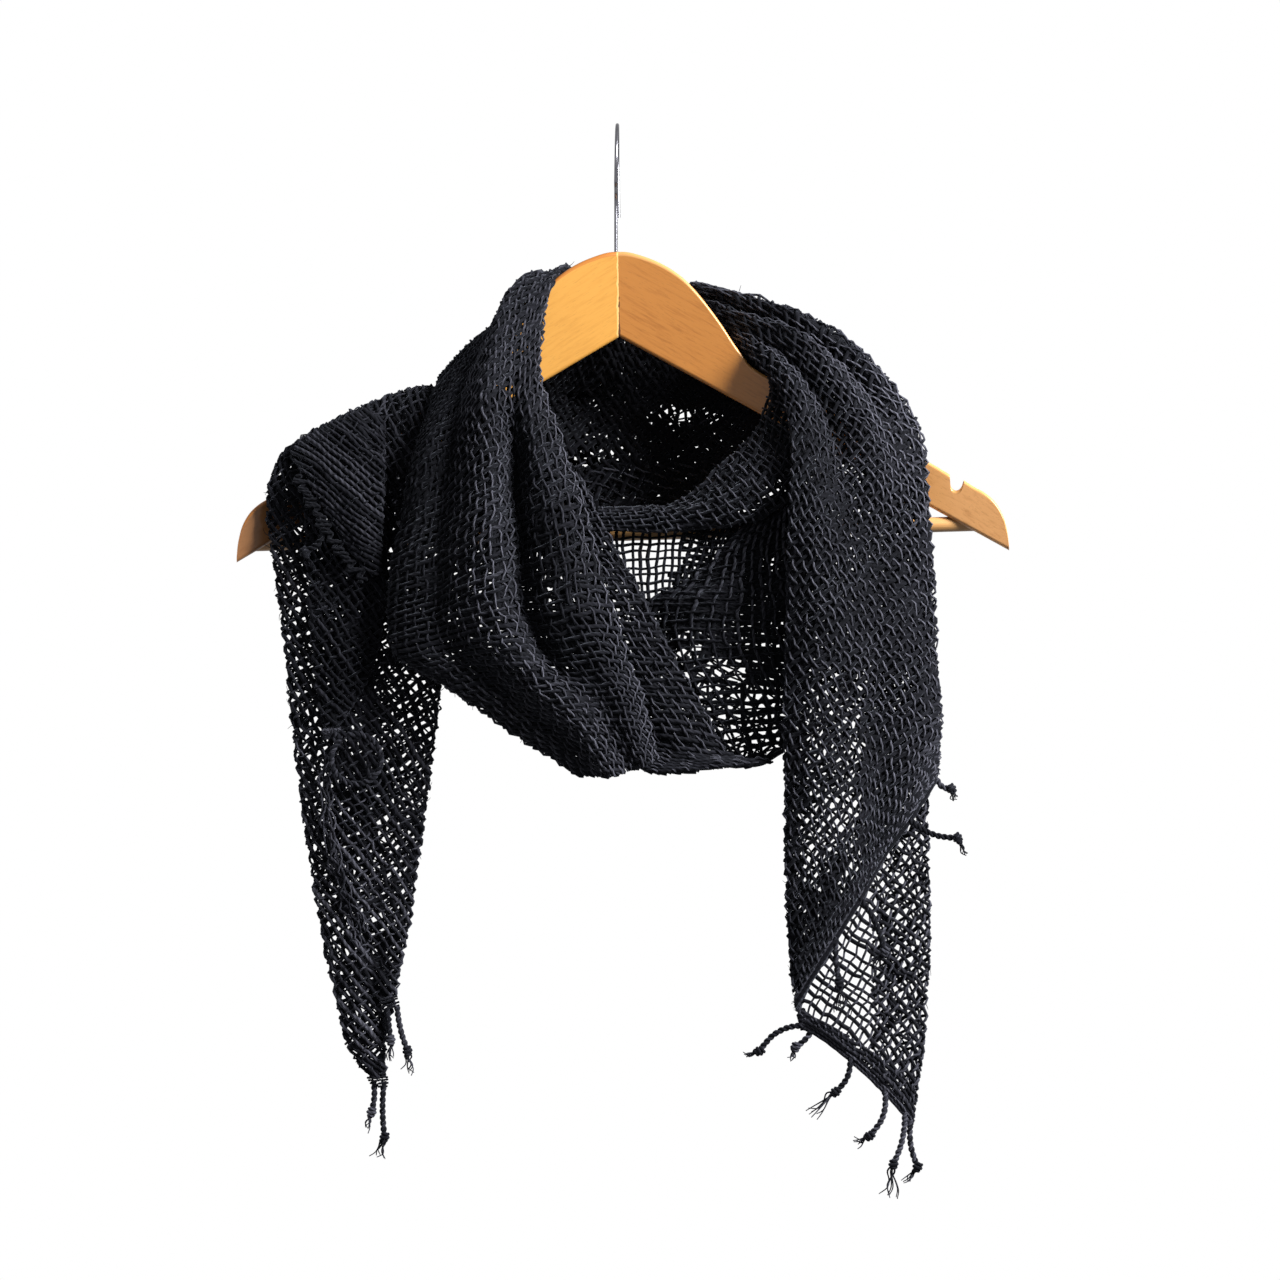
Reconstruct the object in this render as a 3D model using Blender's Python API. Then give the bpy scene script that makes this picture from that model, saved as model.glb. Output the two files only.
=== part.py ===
"""A cotton scarf wound once round a wooden clothes hanger, with its hook.

Metres, +X to the right as seen from the front, the front faces -Y, +Z up.
The origin is the inside top of the hook, where it rests on its rail.
"""

import math

import bmesh
import bpy
import numpy as np
from mathutils import Vector

# The front view is drawn in units of 0.577 mm, x to the right and down from the top.
# The eye is level and 2.2 m in front of the rail, so what is nearer looks larger.
DRAWING_UNIT = 0.000577
HOOK_TOP_X = 617
HOOK_TOP_DOWN = 127
EYE_AWAY = 2.2
EYE_X = 0.013
EYE_Z = -0.296

# Cloth
CLOTH_THICK = 0.0020
FOLD_FADE = 0.16
ROUND_EDGE = 0.6
FRINGE_STRIP = 0.0050
FRINGE_STRIP_THICK = 0.0026

# Tassels
CORD_RADIUS = 0.0013
KNOT_RADIUS = 0.0027
FRAY_RADIUS = 0.0019

# Hanger, sizes in its own frame from the low point of the middle seam
HANGER_LOW_X = 619
HANGER_LOW_DOWN = 337
HANGER_ROLL = math.radians(1.3)
HANGER_PITCH = math.radians(8.0)
ARM_THICK = 0.0120
ARM_ROUND = 0.0022
ARM_UNDERSIDE = math.radians(30.0)
ARM_PITCHED_ABOUT = 0.012
ARM_REACH = 0.2219
ARM_V = 0.09
ARM_BOW = 0.020
MIDDLE_SEAM = 0.0003
BAR_RADIUS = 0.0043
BAR_LEFT = (254, 543.8)
BAR_RIGHT = (980, 523.4)
BAR_DEPTH = -0.0358
FIT_GAP = 0.0003

# Hook
WIRE_RADIUS = 0.0010
HOOK_INSIDE_RADIUS = 0.0205
STEM_X = 615.5
STEM_FOOT = -0.0900
STEM_BEND = -0.0470
STEM_BEND_RADIUS = 0.010
STEM_BEND_TURN = 68
HOOK_START_TURN = 228
HOOK_END = -0.0500
HOOK_END_SIDE = 0.0006
HOOK_END_PINCH = 0.0015

# Upper outline of one arm: how far out from the seam, and how high, in millimetres.
ARM_TOP = (
    (0.0, 49.2),
    (5.5, 48.9),
    (11.5, 47.4),
    (20.6, 44.0),
    (29.2, 39.4),
    (37.7, 33.0),
    (45.6, 24.4),
    (53.4, 14.1),
    (60.1, 4.2),
    (66.2, -5.7),
    (71.3, -12.9),
    (76.0, -18.8),
    (90.0, -27.6),
    (110.0, -38.6),
    (135.0, -52.2),
    (160.0, -65.4),
    (180.7, -76.6),
    (185.4, -80.6),
    (186.7, -84.0),
    (187.6, -88.6),
    (189.4, -92.6),
    (192.0, -94.1),
    (194.8, -93.0),
    (196.4, -89.6),
    (197.6, -88.6),
    (199.6, -91.0),
    (202.8, -93.5),
    (207.0, -96.2),
    (210.7, -99.0),
    (214.0, -102.6),
    (216.6, -106.5),
    (218.8, -111.4),
    (220.4, -116.7),
    (221.4, -121.4),
    (221.9, -124.8),
)

# Sections of each stretch of cloth, in the order in which the cloth runs.
# left x, left down, left depth, right x, right down, right depth, fore, lift
# x and down are units of the front view. Depth is in millimetres behind the rail's
# middle plane. Fore and lift, in millimetres, arch the section forwards and upwards.
NECK_BAND = (
    (440, 376, -4, 565.5, 264, -4, 2, 2),
    (429, 406, -36, 550, 292, -23.8, 8, 2),
    (413, 457, -58, 541, 366, -48, 13, 1),
    (398, 525, -66, 562, 438, -62, 17, 0),
    (386, 600, -70, 589, 511, -70, 18, 0),
    (394, 655, -71, 608, 588, -74, 18, 0),
    (444, 688, -73, 624, 646, -78, 17, 0),
    (508, 730, -77, 643, 696, -82, 14, 0),
    (572, 772, -82, 657, 757, -86, 6, -5),
)
BAND_INNER = (
    (528, 462, -52, 580, 474, -58, 3, 0),
    (536, 530, -55, 607, 530, -62, 4, 0),
    (550, 590, -58, 643, 592, -66, 7.5, 0),
    (568, 650, -62, 673, 652, -69, 7, 0),
    (588, 705, -66, 702, 704, -71, 7, 0),
    (612, 752, -70, 731, 752, -73, 5, 0),
    (646, 771, -78, 774, 759, -74, 4, -2),
)
BAND_UNDER = (
    (452, 410, -43, 530, 352, -34, 0, 3),
    (430, 480, -58, 532, 410, -42, 0, 0),
    (412, 560, -63, 528, 490, -44, 0, 0),
    (408, 630, -64, 525, 570, -46, -1, 0),
    (445, 676, -66, 535, 640, -52, -2, 0),
    (500, 716, -73, 570, 695, -60, -2, 0),
    (546, 750, -81.8, 592, 722, -75, 0, 0),
)
LOWER_SWAG = (
    (768, 500, -48, 806, 484, -50, 2, 0),
    (728, 538, -49, 808, 540, -53, 4, 0),
    (690, 577, -50, 808, 600, -56, 6, 0),
    (642, 604, -50, 806, 650, -58, 7, 0),
    (622, 660, -50, 803, 695, -59, 7, 0),
    (630, 710, -53, 797, 728, -60, 6, 0),
    (655, 745, -56, 788, 748, -62, 4, 0),
    (690, 766, -60, 770, 760, -63, 2, 0),
)
COLLAR_ROLL = (
    (752, 352, -12, 815, 384, -16, 0, 3),
    (768, 392, -36, 818, 428, -46, 4, 2),
    (748, 436, -42, 806, 486, -58, 8, 0),
    (718, 465, -46, 762, 520, -58, 9, 0),
    (680, 497, -46, 708, 528, -55, 7, 0),
    (640, 508, -45, 652, 533, -52, 5, 0),
    (597, 508, -44, 600, 530, -49, 3, 0),
)
NET_PANEL = (
    (600, 515, -45.1, 772, 512, -45.5, 0, 0),
    (604, 558, -46.0, 760, 552, -45.5, 0, 0),
    (622, 600, -47.2, 735, 588, -46.4, 0, 0),
    (642, 640, -47.4, 712, 625, -46.6, 0, 0),
)
NECK_BACK_INNER = (
    (434, 388, -14, 286, 453, -36, 0, 8),
    (452, 396, 14, 312, 490, -14, -4, 5),
    (515, 350, 20, 395, 530, 10, -10, 0),
    (585, 310, 20, 520, 540, 30, -14, 0),
    (650, 308, 20, 650, 530, 34, -14, 0),
    (705, 330, 18, 745, 505, 28, -10, 0),
    (740, 346, 12, 800, 425, 14, -6, 2),
    (752, 352, -12, 815, 384, -16, 0, 3),
)
NECK_BACK_OUTER = (
    (565.5, 264, -4, 440, 376, -4, 2, 2),
    (575, 276, 28, 440, 420, 30, -6, 6),
    (597, 300, 38, 480, 490, 50, -12, 0),
    (640, 304, 40, 590, 524, 60, -14, 0),
    (675, 300, 38, 710, 515, 58, -12, 0),
    (692, 292, 36, 830, 452, 38, -8, 8),
    (690, 288, 33, 920, 424, -28, -5, 26),
)
RIGHT_TAIL = (
    (728, 334, 12, 690, 281, 25, 0, 0),
    (752, 362, -23.6, 745, 294, 14, 4, 0),
    (776, 388, -46, 797, 310, 2, 6, 1),
    (787, 422, -64, 847, 338, -8, 8, 1),
    (790, 465, -74, 890, 380, -22, 10, 0),
    (787, 515, -80, 921, 432, -38, 12, 0),
    (785, 575, -83, 930, 500, -54, 12, 0),
    (783, 660, -84, 936, 620, -60, 13, 0),
    (782, 750, -84, 942, 704, -62, 13, 0),
    (783, 850, -82, 942, 738, -62, 12, 6),
    (786, 935, -80, 940, 762, -62, 10, 15),
    (794, 1000, -79, 937, 774, -62, 8, 22),
)
RIGHT_TAIL_BACK = (
    (808, 482, -70, 905, 480, -46, 3, 0),
    (787, 600, -80.4, 922, 580, -50, 5, 0),
    (786.5, 700, -81.6, 928, 690, -52, 6, 0),
    (790, 800, -73, 929, 800, -54, 6, 0),
    (790, 900, -72, 931, 905, -55, 5, 0),
    (793, 980, -71, 929, 985, -56, 4, 2),
    (795, 1005, -71, 924, 1052, -57, 3, 6),
    (798, 1021, -71, 913, 1120, -58, 2, 8),
)
LEFT_TAIL = (
    (286, 453, -36, 434, 388, -14, 0, 8),
    (268, 482, -48, 440, 417, -36, 2, 4),
    (266, 525, -51, 446, 500, -46, 2, 0),
    (275, 590, -52, 447, 600, -50, 3, 0),
    (284, 660, -52, 442, 680, -52, 3, 0),
    (292, 745, -52, 435, 750, -52, 4, 0),
    (304, 840, -52, 424, 836, -52, 5, 0),
    (320, 932, -52, 410, 930, -52, 5, 0),
    (336, 1010, -53, 396, 1000, -53, 4, 0),
    (347, 1052, -54, 387, 1042, -54, 3, 0),
    (367, 1078, -55, 387, 1077, -55, 1, 0),
)
LEFT_TAIL_MIDDLE = (
    (302, 485, -55.0, 386, 478, -53.5, 2, 0),
    (305, 560, -58.0, 388, 560, -56.5, 2, 0),
    (308, 620, -58.5, 385, 620, -57.5, 2, 0),
    (313, 680, -58.5, 369, 680, -58.0, 2, 0),
    (322, 730, -58.5, 340, 728, -58.5, 1, 0),
)
LEFT_FLAP = (
    (288, 455, -48, 386, 404, -34, 2, 5),
    (302, 474, -58, 386, 440, -49, 3, 0),
    (320, 505, -63, 385, 490, -60, 3, 0),
    (340, 540, -65, 383, 535, -63, 2, 0),
    (370, 577, -65, 381, 574, -64, 1, 0),
)

FLAP_EDGE = (
    (291.5, 477, -60, 300.0, 474, -59, 0, 0),
    (309.5, 508, -65, 318.0, 506, -64, 0, 0),
    (329.3, 544, -67, 337.8, 541, -66, 0, 0),
    (360.5, 583, -67, 368.0, 579, -66, 0, 0),
)
SIDE_EDGE = (
    (379, 1001, -59.6, 397, 996, -56.7, 0.5, 0),
    (381, 1010, -59.6, 399, 1005, -56.7, 0.5, 0),
)

# Folds that run along a stretch: where they lie across it at its start, middle and
# end, from and to along it, height in millimetres (below zero for a valley), width.
NECK_BAND_FOLDS = (
    (0.74, 0.52, 0.50, 0.00, 1.00, 9.0, 0.13),
    (0.96, 0.66, 0.60, 0.12, 0.86, -15.0, 0.065),
    (0.96, 0.88, 0.84, 0.20, 1.00, 6.0, 0.10),
    (0.40, 0.24, 0.26, 0.10, 0.92, -5.0, 0.08),
)
BAND_INNER_FOLDS = ((0.60, 0.62, 0.66, 0.20, 1.00, 2.0, 0.16),)
LOWER_SWAG_FOLDS = (
    (0.30, 0.30, 0.34, 0.15, 0.90, 3.0, 0.10),
    (0.60, 0.58, 0.60, 0.10, 0.90, -4.0, 0.10),
    (0.82, 0.80, 0.78, 0.10, 0.90, 2.5, 0.10),
)
COLLAR_ROLL_FOLDS = ((0.55, 0.50, 0.50, 0.05, 0.80, 2.5, 0.20),)
NECK_BACK_INNER_FOLDS = (
    (0.30, 0.42, 0.30, 0.10, 0.90, 5.0, 0.10),
    (0.50, 0.62, 0.50, 0.10, 0.90, -4.0, 0.10),
)
NECK_BACK_OUTER_FOLDS = (
    (0.20, 0.25, 0.20, 0.05, 0.95, -5.0, 0.08),
    (0.45, 0.50, 0.45, 0.05, 0.95, 5.0, 0.09),
    (0.70, 0.74, 0.66, 0.05, 0.95, -5.0, 0.09),
)
RIGHT_TAIL_FOLDS = (
    (0.92, 0.90, 0.84, 0.00, 0.52, 3.5, 0.07),
    (0.76, 0.78, 0.76, 0.00, 0.46, -6.0, 0.06),
    (0.62, 0.64, 0.60, 0.02, 0.62, 4.0, 0.09),
    (0.38, 0.44, 0.44, 0.04, 0.50, -7.0, 0.07),
    (0.18, 0.22, 0.26, 0.10, 0.95, 3.0, 0.12),
    (0.70, 0.62, 0.62, 0.50, 1.00, -3.5, 0.12),
)
RIGHT_TAIL_BACK_FOLDS = ((0.70, 0.72, 0.80, 0.10, 0.95, -2.5, 0.12),)
LEFT_TAIL_FOLDS = (
    (0.60, 0.62, 0.60, 0.12, 0.85, -2.5, 0.10),
    (0.30, 0.34, 0.40, 0.45, 1.00, 2.0, 0.14),
)
LEFT_TAIL_MIDDLE_FOLDS = ((0.50, 0.52, 0.50, 0.05, 0.95, 1.5, 0.18),)
LEFT_FLAP_FOLDS = ((0.45, 0.50, 0.50, 0.02, 0.95, 2.0, 0.20),)

# Stretches: sections, folds, faces across, faces along
STRETCHES = {
    "neck_band": (NECK_BAND, NECK_BAND_FOLDS, 15, 24),
    "neck_band_inner_strip": (BAND_INNER, BAND_INNER_FOLDS, 7, 14),
    "neck_band_under": (BAND_UNDER, (), 6, 14),
    "lower_swag": (LOWER_SWAG, LOWER_SWAG_FOLDS, 10, 14),
    "collar_roll": (COLLAR_ROLL, COLLAR_ROLL_FOLDS, 8, 16),
    "net_panel": (NET_PANEL, (), 6, 5),
    "neck_back_inner": (NECK_BACK_INNER, NECK_BACK_INNER_FOLDS, 11, 18),
    "neck_back_outer": (NECK_BACK_OUTER, NECK_BACK_OUTER_FOLDS, 13, 18),
    "right_tail": (RIGHT_TAIL, RIGHT_TAIL_FOLDS, 15, 26),
    "right_tail_back": (RIGHT_TAIL_BACK, RIGHT_TAIL_BACK_FOLDS, 9, 16),
    "left_tail": (LEFT_TAIL, LEFT_TAIL_FOLDS, 11, 22),
    "left_tail_middle": (LEFT_TAIL_MIDDLE, LEFT_TAIL_MIDDLE_FOLDS, 7, 10),
    "left_flap": (LEFT_FLAP, LEFT_FLAP_FOLDS, 7, 10),
}

# Stretches that run into one another: the section that follows over the crest, before
# a stretch's first section or after its last. True where left and right change over.
RUNS_ON = {
    "neck_band": ((NECK_BACK_OUTER[1], True), None),
    "neck_back_outer": ((NECK_BAND[1], True), None),
    "left_tail": ((NECK_BACK_INNER[1], True), None),
    "neck_back_inner": ((LEFT_TAIL[1], True), (COLLAR_ROLL[1], False)),
    "collar_roll": ((NECK_BACK_INNER[-2], False), None),
}

# A stretch whose end meets the side of another: that stretch, and the places along it
# between which the end lies.
MEETS = {"neck_back_outer": ("right_tail", 0.0, 0.44)}
MEETING_SHARE = 0.3
MEETING_GAP = 0.0040

# Stretches cut short for a gap at a seam: the places along them where they start and end.
TRIMMED = {
    "neck_band": (0.003, 1),
    "neck_back_outer": (0.003, 0.997),
    "neck_back_inner": (0.005, 0.996),
    "collar_roll": (0.003, 1),
    "left_tail": (0.003, 0.995),
    "right_tail": (0, 0.994),
    "right_tail_back": (0, 0.994),
    "left_tail_middle": (0, 0.99),
}

# Tassels: place across the strip, knot x, knot down, tip x, tip down, sideways bow
RIGHT_FRONT_TASSELS = (
    (1.00, 955, 790, 952, 808, -2),
    (0.88, 955, 832, 966, 855, -3),
    (0.58, 888, 951, 869, 969, 2),
    (0.28, 839, 982, 841, 1018, -1),
)
RIGHT_BACK_TASSELS = (
    (0.04, 759, 1051, 744, 1057, -4),
    (0.12, 795, 1047, 790, 1062, 1),
    (0.45, 835, 1092, 807, 1114, 3),
    (0.75, 869, 1136, 853, 1146, 4),
    (0.93, 893, 1164, 888, 1197, 2),
    (0.98, 917, 1167, 906, 1185, -2),
)
LEFT_END_TASSELS = (
    (0.20, 371, 1112, 364, 1131, 1),
    (0.80, 384, 1137, 376, 1158, -1),
)
LEFT_SIDE_TASSELS = (
    (0.30, 390, 1040, 389, 1062, 0),
    (0.85, 407, 1051, 408, 1076, -1),
)
LEFT_FLAP_TASSELS = ((0.5, 308, 560, 313, 572, 3),)
LOOP_X = 356
LOOP_DOWN = 759
LOOP_RADIUS = 25
LOOP_DEPTH = -0.0625
LOOP_ROOT_X = 333
LOOP_ROOT_DOWN = 732
LOOP_ROOT_DEPTH = -0.0590
LOOP_START_TURN = 128
LOOP_END_TURN = 470
LOOP_RISE = 0.003

COTTON = ("cotton", (0.020, 0.021, 0.026), 0.92, 0.0)
WOOD = ("wood", (0.64, 0.31, 0.08), 0.38, 0.0)
CHROME = ("chrome", (0.70, 0.71, 0.73), 0.12, 1.0)


def clear_scene():
    for item in list(bpy.data.objects):
        bpy.data.objects.remove(item, do_unlink=True)


def material_of(name, colour, roughness, metallic):
    found = bpy.data.materials.new(name)
    found.use_nodes = True
    shader = found.node_tree.nodes["Principled BSDF"]
    shader.inputs["Base Color"].default_value = (*colour, 1)
    shader.inputs["Roughness"].default_value = roughness
    shader.inputs["Metallic"].default_value = metallic
    found.diffuse_color = (*colour, 1)
    return found


def built(x, down, depth):
    """The point in metres that the front view shows at x and down, at this depth."""
    nearer = (EYE_AWAY + depth) / EYE_AWAY
    across = (x - HOOK_TOP_X) * DRAWING_UNIT
    height = (HOOK_TOP_DOWN - down) * DRAWING_UNIT
    return np.stack(
        [
            EYE_X + (across - EYE_X) * nearer,
            depth + 0 * across,
            EYE_Z + (height - EYE_Z) * nearer,
        ],
        axis=-1,
    )


def through(rows, place, before=None, after=None):
    """A smooth line through the rows, one step of place from one row to the next."""
    last = len(rows) - 1
    first = np.clip(np.floor(place).astype(int), 0, last - 1)
    part = (place - first)[:, None]
    before = 2 * rows[0] - rows[1] if before is None else before
    after = 2 * rows[-1] - rows[-2] if after is None else after
    padded = np.vstack([before, rows, after])
    a, b, c, d = (padded[first + step] for step in range(4))
    return 0.5 * (
        2 * b
        + (c - a) * part
        + (2 * a - 5 * b + 4 * c - d) * part**2
        + (3 * b - a - 3 * c + d) * part**3
    )


def facing(grid):
    """The unit normal of a grid of points at each of its points."""
    along, across = np.gradient(grid, axis=(0, 1))
    normal = np.cross(along, across)
    size = np.linalg.norm(normal, axis=2, keepdims=True)
    return normal / np.maximum(size, 1e-9)


def edge_lines(sections):
    """For each section, both ends in metres, then how far it arches."""
    table = np.array(sections, float)
    left = built(table[:, 0], table[:, 1], table[:, 2] / 1000)
    right = built(table[:, 3], table[:, 4], table[:, 5] / 1000)
    return np.hstack([left, right, table[:, 6:8] / 1000])


def next_section(entry):
    if entry is None:
        return None
    line = edge_lines([entry[0]])[0]
    return np.hstack([line[3:6], line[0:3], line[6:8]]) if entry[1] else line


def arched(lines, across):
    share = across[None, :, None]
    grid = lines[:, None, 0:3] * (1 - share) + lines[:, None, 3:6] * share
    arch = np.maximum(1 - (2 * across - 1) ** 2, 0) ** ROUND_EDGE
    grid[:, :, 1] -= lines[:, 6:7] * arch
    grid[:, :, 2] += lines[:, 7:8] * arch
    return grid


def cloth_end(name, across):
    """The last section of a stretch, without its folds."""
    return arched(edge_lines(STRETCHES[name][0][-1:]), across)[0]


def cloth_points(name, across, along):
    """Points of a stretch's middle surface for arrays of places from 0 to 1."""
    sections, folds = STRETCHES[name][:2]
    before, after = RUNS_ON.get(name, (None, None))
    lines = edge_lines(sections)
    place = along * (len(sections) - 1)
    lines = through(lines, place, next_section(before), next_section(after))
    grid = arched(lines, across)
    raised = np.zeros(grid.shape[:2])
    for start, middle, end, begin, stop, height, width in folds:
        centre = start + along * (4 * middle - 3 * start - end)
        centre = centre + along**2 * (2 * start + 2 * end - 4 * middle)
        rise = np.ones_like(along)
        if begin > 0:
            rise = rise * np.clip((along - begin) / FOLD_FADE, 0, 1)
        if stop < 1:
            rise = rise * np.clip((stop - along) / FOLD_FADE, 0, 1)
        rise = rise * rise * (3 - 2 * rise)
        wave = np.exp(-(((across[None, :] - centre[:, None]) / width) ** 2))
        raised += height / 1000 * rise[:, None] * wave
    fade = np.minimum(1, 6 * np.minimum(across, 1 - across))
    grid = grid + facing(grid) * (raised * fade)[:, :, None]
    if name in MEETS:
        other, first, last = MEETS[name]
        edge = cloth_points(other, np.array([0.0, 1.0]), first + across * (last - first))
        edge = edge[:, 1] + np.array([0, MEETING_GAP, 0])
        end = cloth_end(name, across)
        pull = np.clip((along - 1 + MEETING_SHARE) / MEETING_SHARE, 0, 1)
        pull = pull * pull * (3 - 2 * pull)
        grid = grid + pull[:, None, None] * (edge - end)[None]
    return grid


def places_across(count):
    """Places from 0 to 1 that lie closer together near both edges."""
    even = np.linspace(0, 1, count + 1)
    return 0.6 * even + 0.4 * (1 - np.cos(np.pi * even)) / 2


def wall(grid, thick):
    """Points and faces of a closed wall of this thickness round a grid of points."""
    rows, columns = grid.shape[:2]
    out = facing(grid) * (thick / 2)
    points = np.vstack([(grid + out).reshape(-1, 3), (grid - out).reshape(-1, 3)])
    half = rows * columns
    faces = []
    for i in range(rows - 1):
        for j in range(columns - 1):
            a = i * columns + j
            b = a + 1
            c = a + columns + 1
            d = a + columns
            faces.append((a, b, c, d))
            faces.append((half + d, half + c, half + b, half + a))
    rim = [j for j in range(columns)]
    rim += [i * columns + columns - 1 for i in range(1, rows)]
    rim += [(rows - 1) * columns + j for j in range(columns - 2, -1, -1)]
    rim += [i * columns for i in range(rows - 2, 0, -1)]
    for a, b in zip(rim, rim[1:] + rim[:1]):
        faces.append((b, a, half + a, half + b))
    return points, faces


def tube(path, radii, sides):
    """Points and faces of a closed tube along a path of points."""
    path = np.asarray(path, float)
    heading = np.gradient(path, axis=0)
    heading /= np.linalg.norm(heading, axis=1, keepdims=True)
    side = Vector(heading[0]).orthogonal().normalized()
    turns = np.arange(sides) * 2 * math.pi / sides
    rings = []
    for point, way, radius in zip(path, heading, radii):
        way = Vector(way)
        side = (side - way * side.dot(way)).normalized()
        other = np.array(way.cross(side))
        ring = np.outer(np.cos(turns), np.array(side)) + np.outer(np.sin(turns), other)
        rings.append(point + ring * radius)
    points = np.vstack(rings)
    faces = [tuple(range(sides))[::-1]]
    for i in range(len(path) - 1):
        for k in range(sides):
            a = i * sides + k
            b = i * sides + (k + 1) % sides
            faces.append((a, b, b + sides, a + sides))
    faces.append(tuple(range((len(path) - 1) * sides, len(path) * sides)))
    return points, faces


def add_object(name, points, faces, material, sharp_angle=50):
    mesh = bpy.data.meshes.new(name)
    mesh.from_pydata([tuple(p) for p in points], [], faces)
    body = bmesh.new()
    body.from_mesh(mesh)
    bmesh.ops.recalc_face_normals(body, faces=body.faces)
    if body.calc_volume(signed=True) < 0:
        bmesh.ops.reverse_faces(body, faces=body.faces)
    body.to_mesh(mesh)
    body.free()
    mesh.materials.append(material)
    mesh.shade_smooth()
    mesh.set_sharp_from_angle(angle=math.radians(sharp_angle))
    made = bpy.data.objects.new(name, mesh)
    bpy.context.scene.collection.objects.link(made)
    return made


def combine(target, others, operation):
    """Fuses the others with the target, or cuts them from it, and removes them."""
    for number, other in enumerate(others):
        step = target.modifiers.new(f"{operation}_{number}", "BOOLEAN")
        step.operation = operation
        step.solver = "EXACT"
        step.object = other
    view = bpy.context.evaluated_depsgraph_get()
    result = bpy.data.meshes.new_from_object(target.evaluated_get(view))
    target.modifiers.clear()
    target.data = result
    for other in others:
        bpy.data.objects.remove(other, do_unlink=True)
    result.shade_smooth()
    result.set_sharp_from_angle(angle=math.radians(40))


def make_cloth(materials):
    """Every stretch of cloth, with a narrow gap where two run into one another."""
    for name, (_, _, across, along) in STRETCHES.items():
        start, end = TRIMMED.get(name, (0, 1))
        steps = np.linspace(start, end, along + 1)
        grid = cloth_points(name, places_across(across), steps)
        points, faces = wall(grid, CLOTH_THICK)
        add_object(name, points, faces, materials["cotton"])


def arm_depth(out):
    """How far back an arm's middle lies, at a distance out from the seam."""
    return -(ARM_V * out + ARM_BOW * (out / ARM_REACH) ** 2)


def arm_point(side, out, height, back):
    """A point of the hanger in the row's frame. Side is -1 for left and 1 for right."""
    mid = -out * math.tan(ARM_UNDERSIDE) + ARM_PITCHED_ABOUT
    turned_x = side * out * math.cos(HANGER_ROLL) - height * math.sin(HANGER_ROLL)
    turned_z = side * out * math.sin(HANGER_ROLL) + height * math.cos(HANGER_ROLL)
    depth = arm_depth(out) + back * math.cos(HANGER_PITCH)
    depth += (mid - height) * math.sin(HANGER_PITCH)
    x = HANGER_LOW_X + turned_x / DRAWING_UNIT
    down = HANGER_LOW_DOWN - turned_z / DRAWING_UNIT
    return built(np.array(x), np.array(down), np.array(depth))


def make_arm(name, side, material):
    """One bent half of the hanger, as a row of rounded sections from the seam."""
    points = []
    for out, top in ARM_TOP:
        out = max(out / 1000, MIDDLE_SEAM / 2)
        top = top / 1000
        low = -out * math.tan(ARM_UNDERSIDE)
        round_up = min(ARM_ROUND, (top - low) * 0.35)
        half = ARM_THICK / 2
        corners = (
            (-half + ARM_ROUND, top),
            (half - ARM_ROUND, top),
            (half - ARM_ROUND * 0.3, top - round_up * 0.3),
            (half, top - round_up),
            (half, low + round_up),
            (half - ARM_ROUND * 0.3, low + round_up * 0.3),
            (half - ARM_ROUND, low),
            (-half + ARM_ROUND, low),
            (-half + ARM_ROUND * 0.3, low + round_up * 0.3),
            (-half, low + round_up),
            (-half, top - round_up),
            (-half + ARM_ROUND * 0.3, top - round_up * 0.3),
        )
        points += [arm_point(side, out, height, back) for back, height in corners]
    count = 12
    stations = len(ARM_TOP)
    faces = [tuple(range(count))]
    for i in range(stations - 1):
        for k in range(count):
            a = i * count + k
            b = i * count + (k + 1) % count
            faces.append((a, b, b + count, a + count))
    faces.append(tuple(range((stations - 1) * count, stations * count))[::-1])
    return add_object(name, points, faces, material, 35)


def bar_ends():
    left = built(np.array(BAR_LEFT[0]), np.array(BAR_LEFT[1]), np.array(BAR_DEPTH))
    right = built(np.array(BAR_RIGHT[0]), np.array(BAR_RIGHT[1]), np.array(BAR_DEPTH))
    return left, right


def hook_path():
    """Middle line of the wire, from its foot in the wood over the rail to its end."""
    radius = HOOK_INSIDE_RADIUS + WIRE_RADIUS
    centre = WIRE_RADIUS - radius
    foot_x = (STEM_X - HOOK_TOP_X) * DRAWING_UNIT
    path = [(foot_x, 0, height) for height in np.linspace(STEM_FOOT, STEM_BEND, 6)]
    for degrees in np.linspace(0.2, 1, 4) * STEM_BEND_TURN:
        angle = math.radians(degrees)
        y = -STEM_BEND_RADIUS * (1 - math.cos(angle))
        z = STEM_BEND + STEM_BEND_RADIUS * math.sin(angle)
        path.append((foot_x, y, z))
    for degrees in np.linspace(HOOK_START_TURN, 360, 12):
        angle = math.radians(degrees)
        y = radius * math.sin(angle)
        z = centre + radius * math.cos(angle)
        path.append((foot_x * (360 - degrees) / (360 - HOOK_START_TURN), y, z))
    for degrees in np.linspace(12, 90, 7):
        angle = math.radians(degrees)
        path.append((0, radius * math.sin(angle), centre + radius * math.cos(angle)))
    for share in (0.3, 0.65, 1.0):
        y = radius - HOOK_END_PINCH * share
        z = centre + (HOOK_END - centre) * share
        path.append((HOOK_END_SIDE * share, y, z))
    return path


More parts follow.
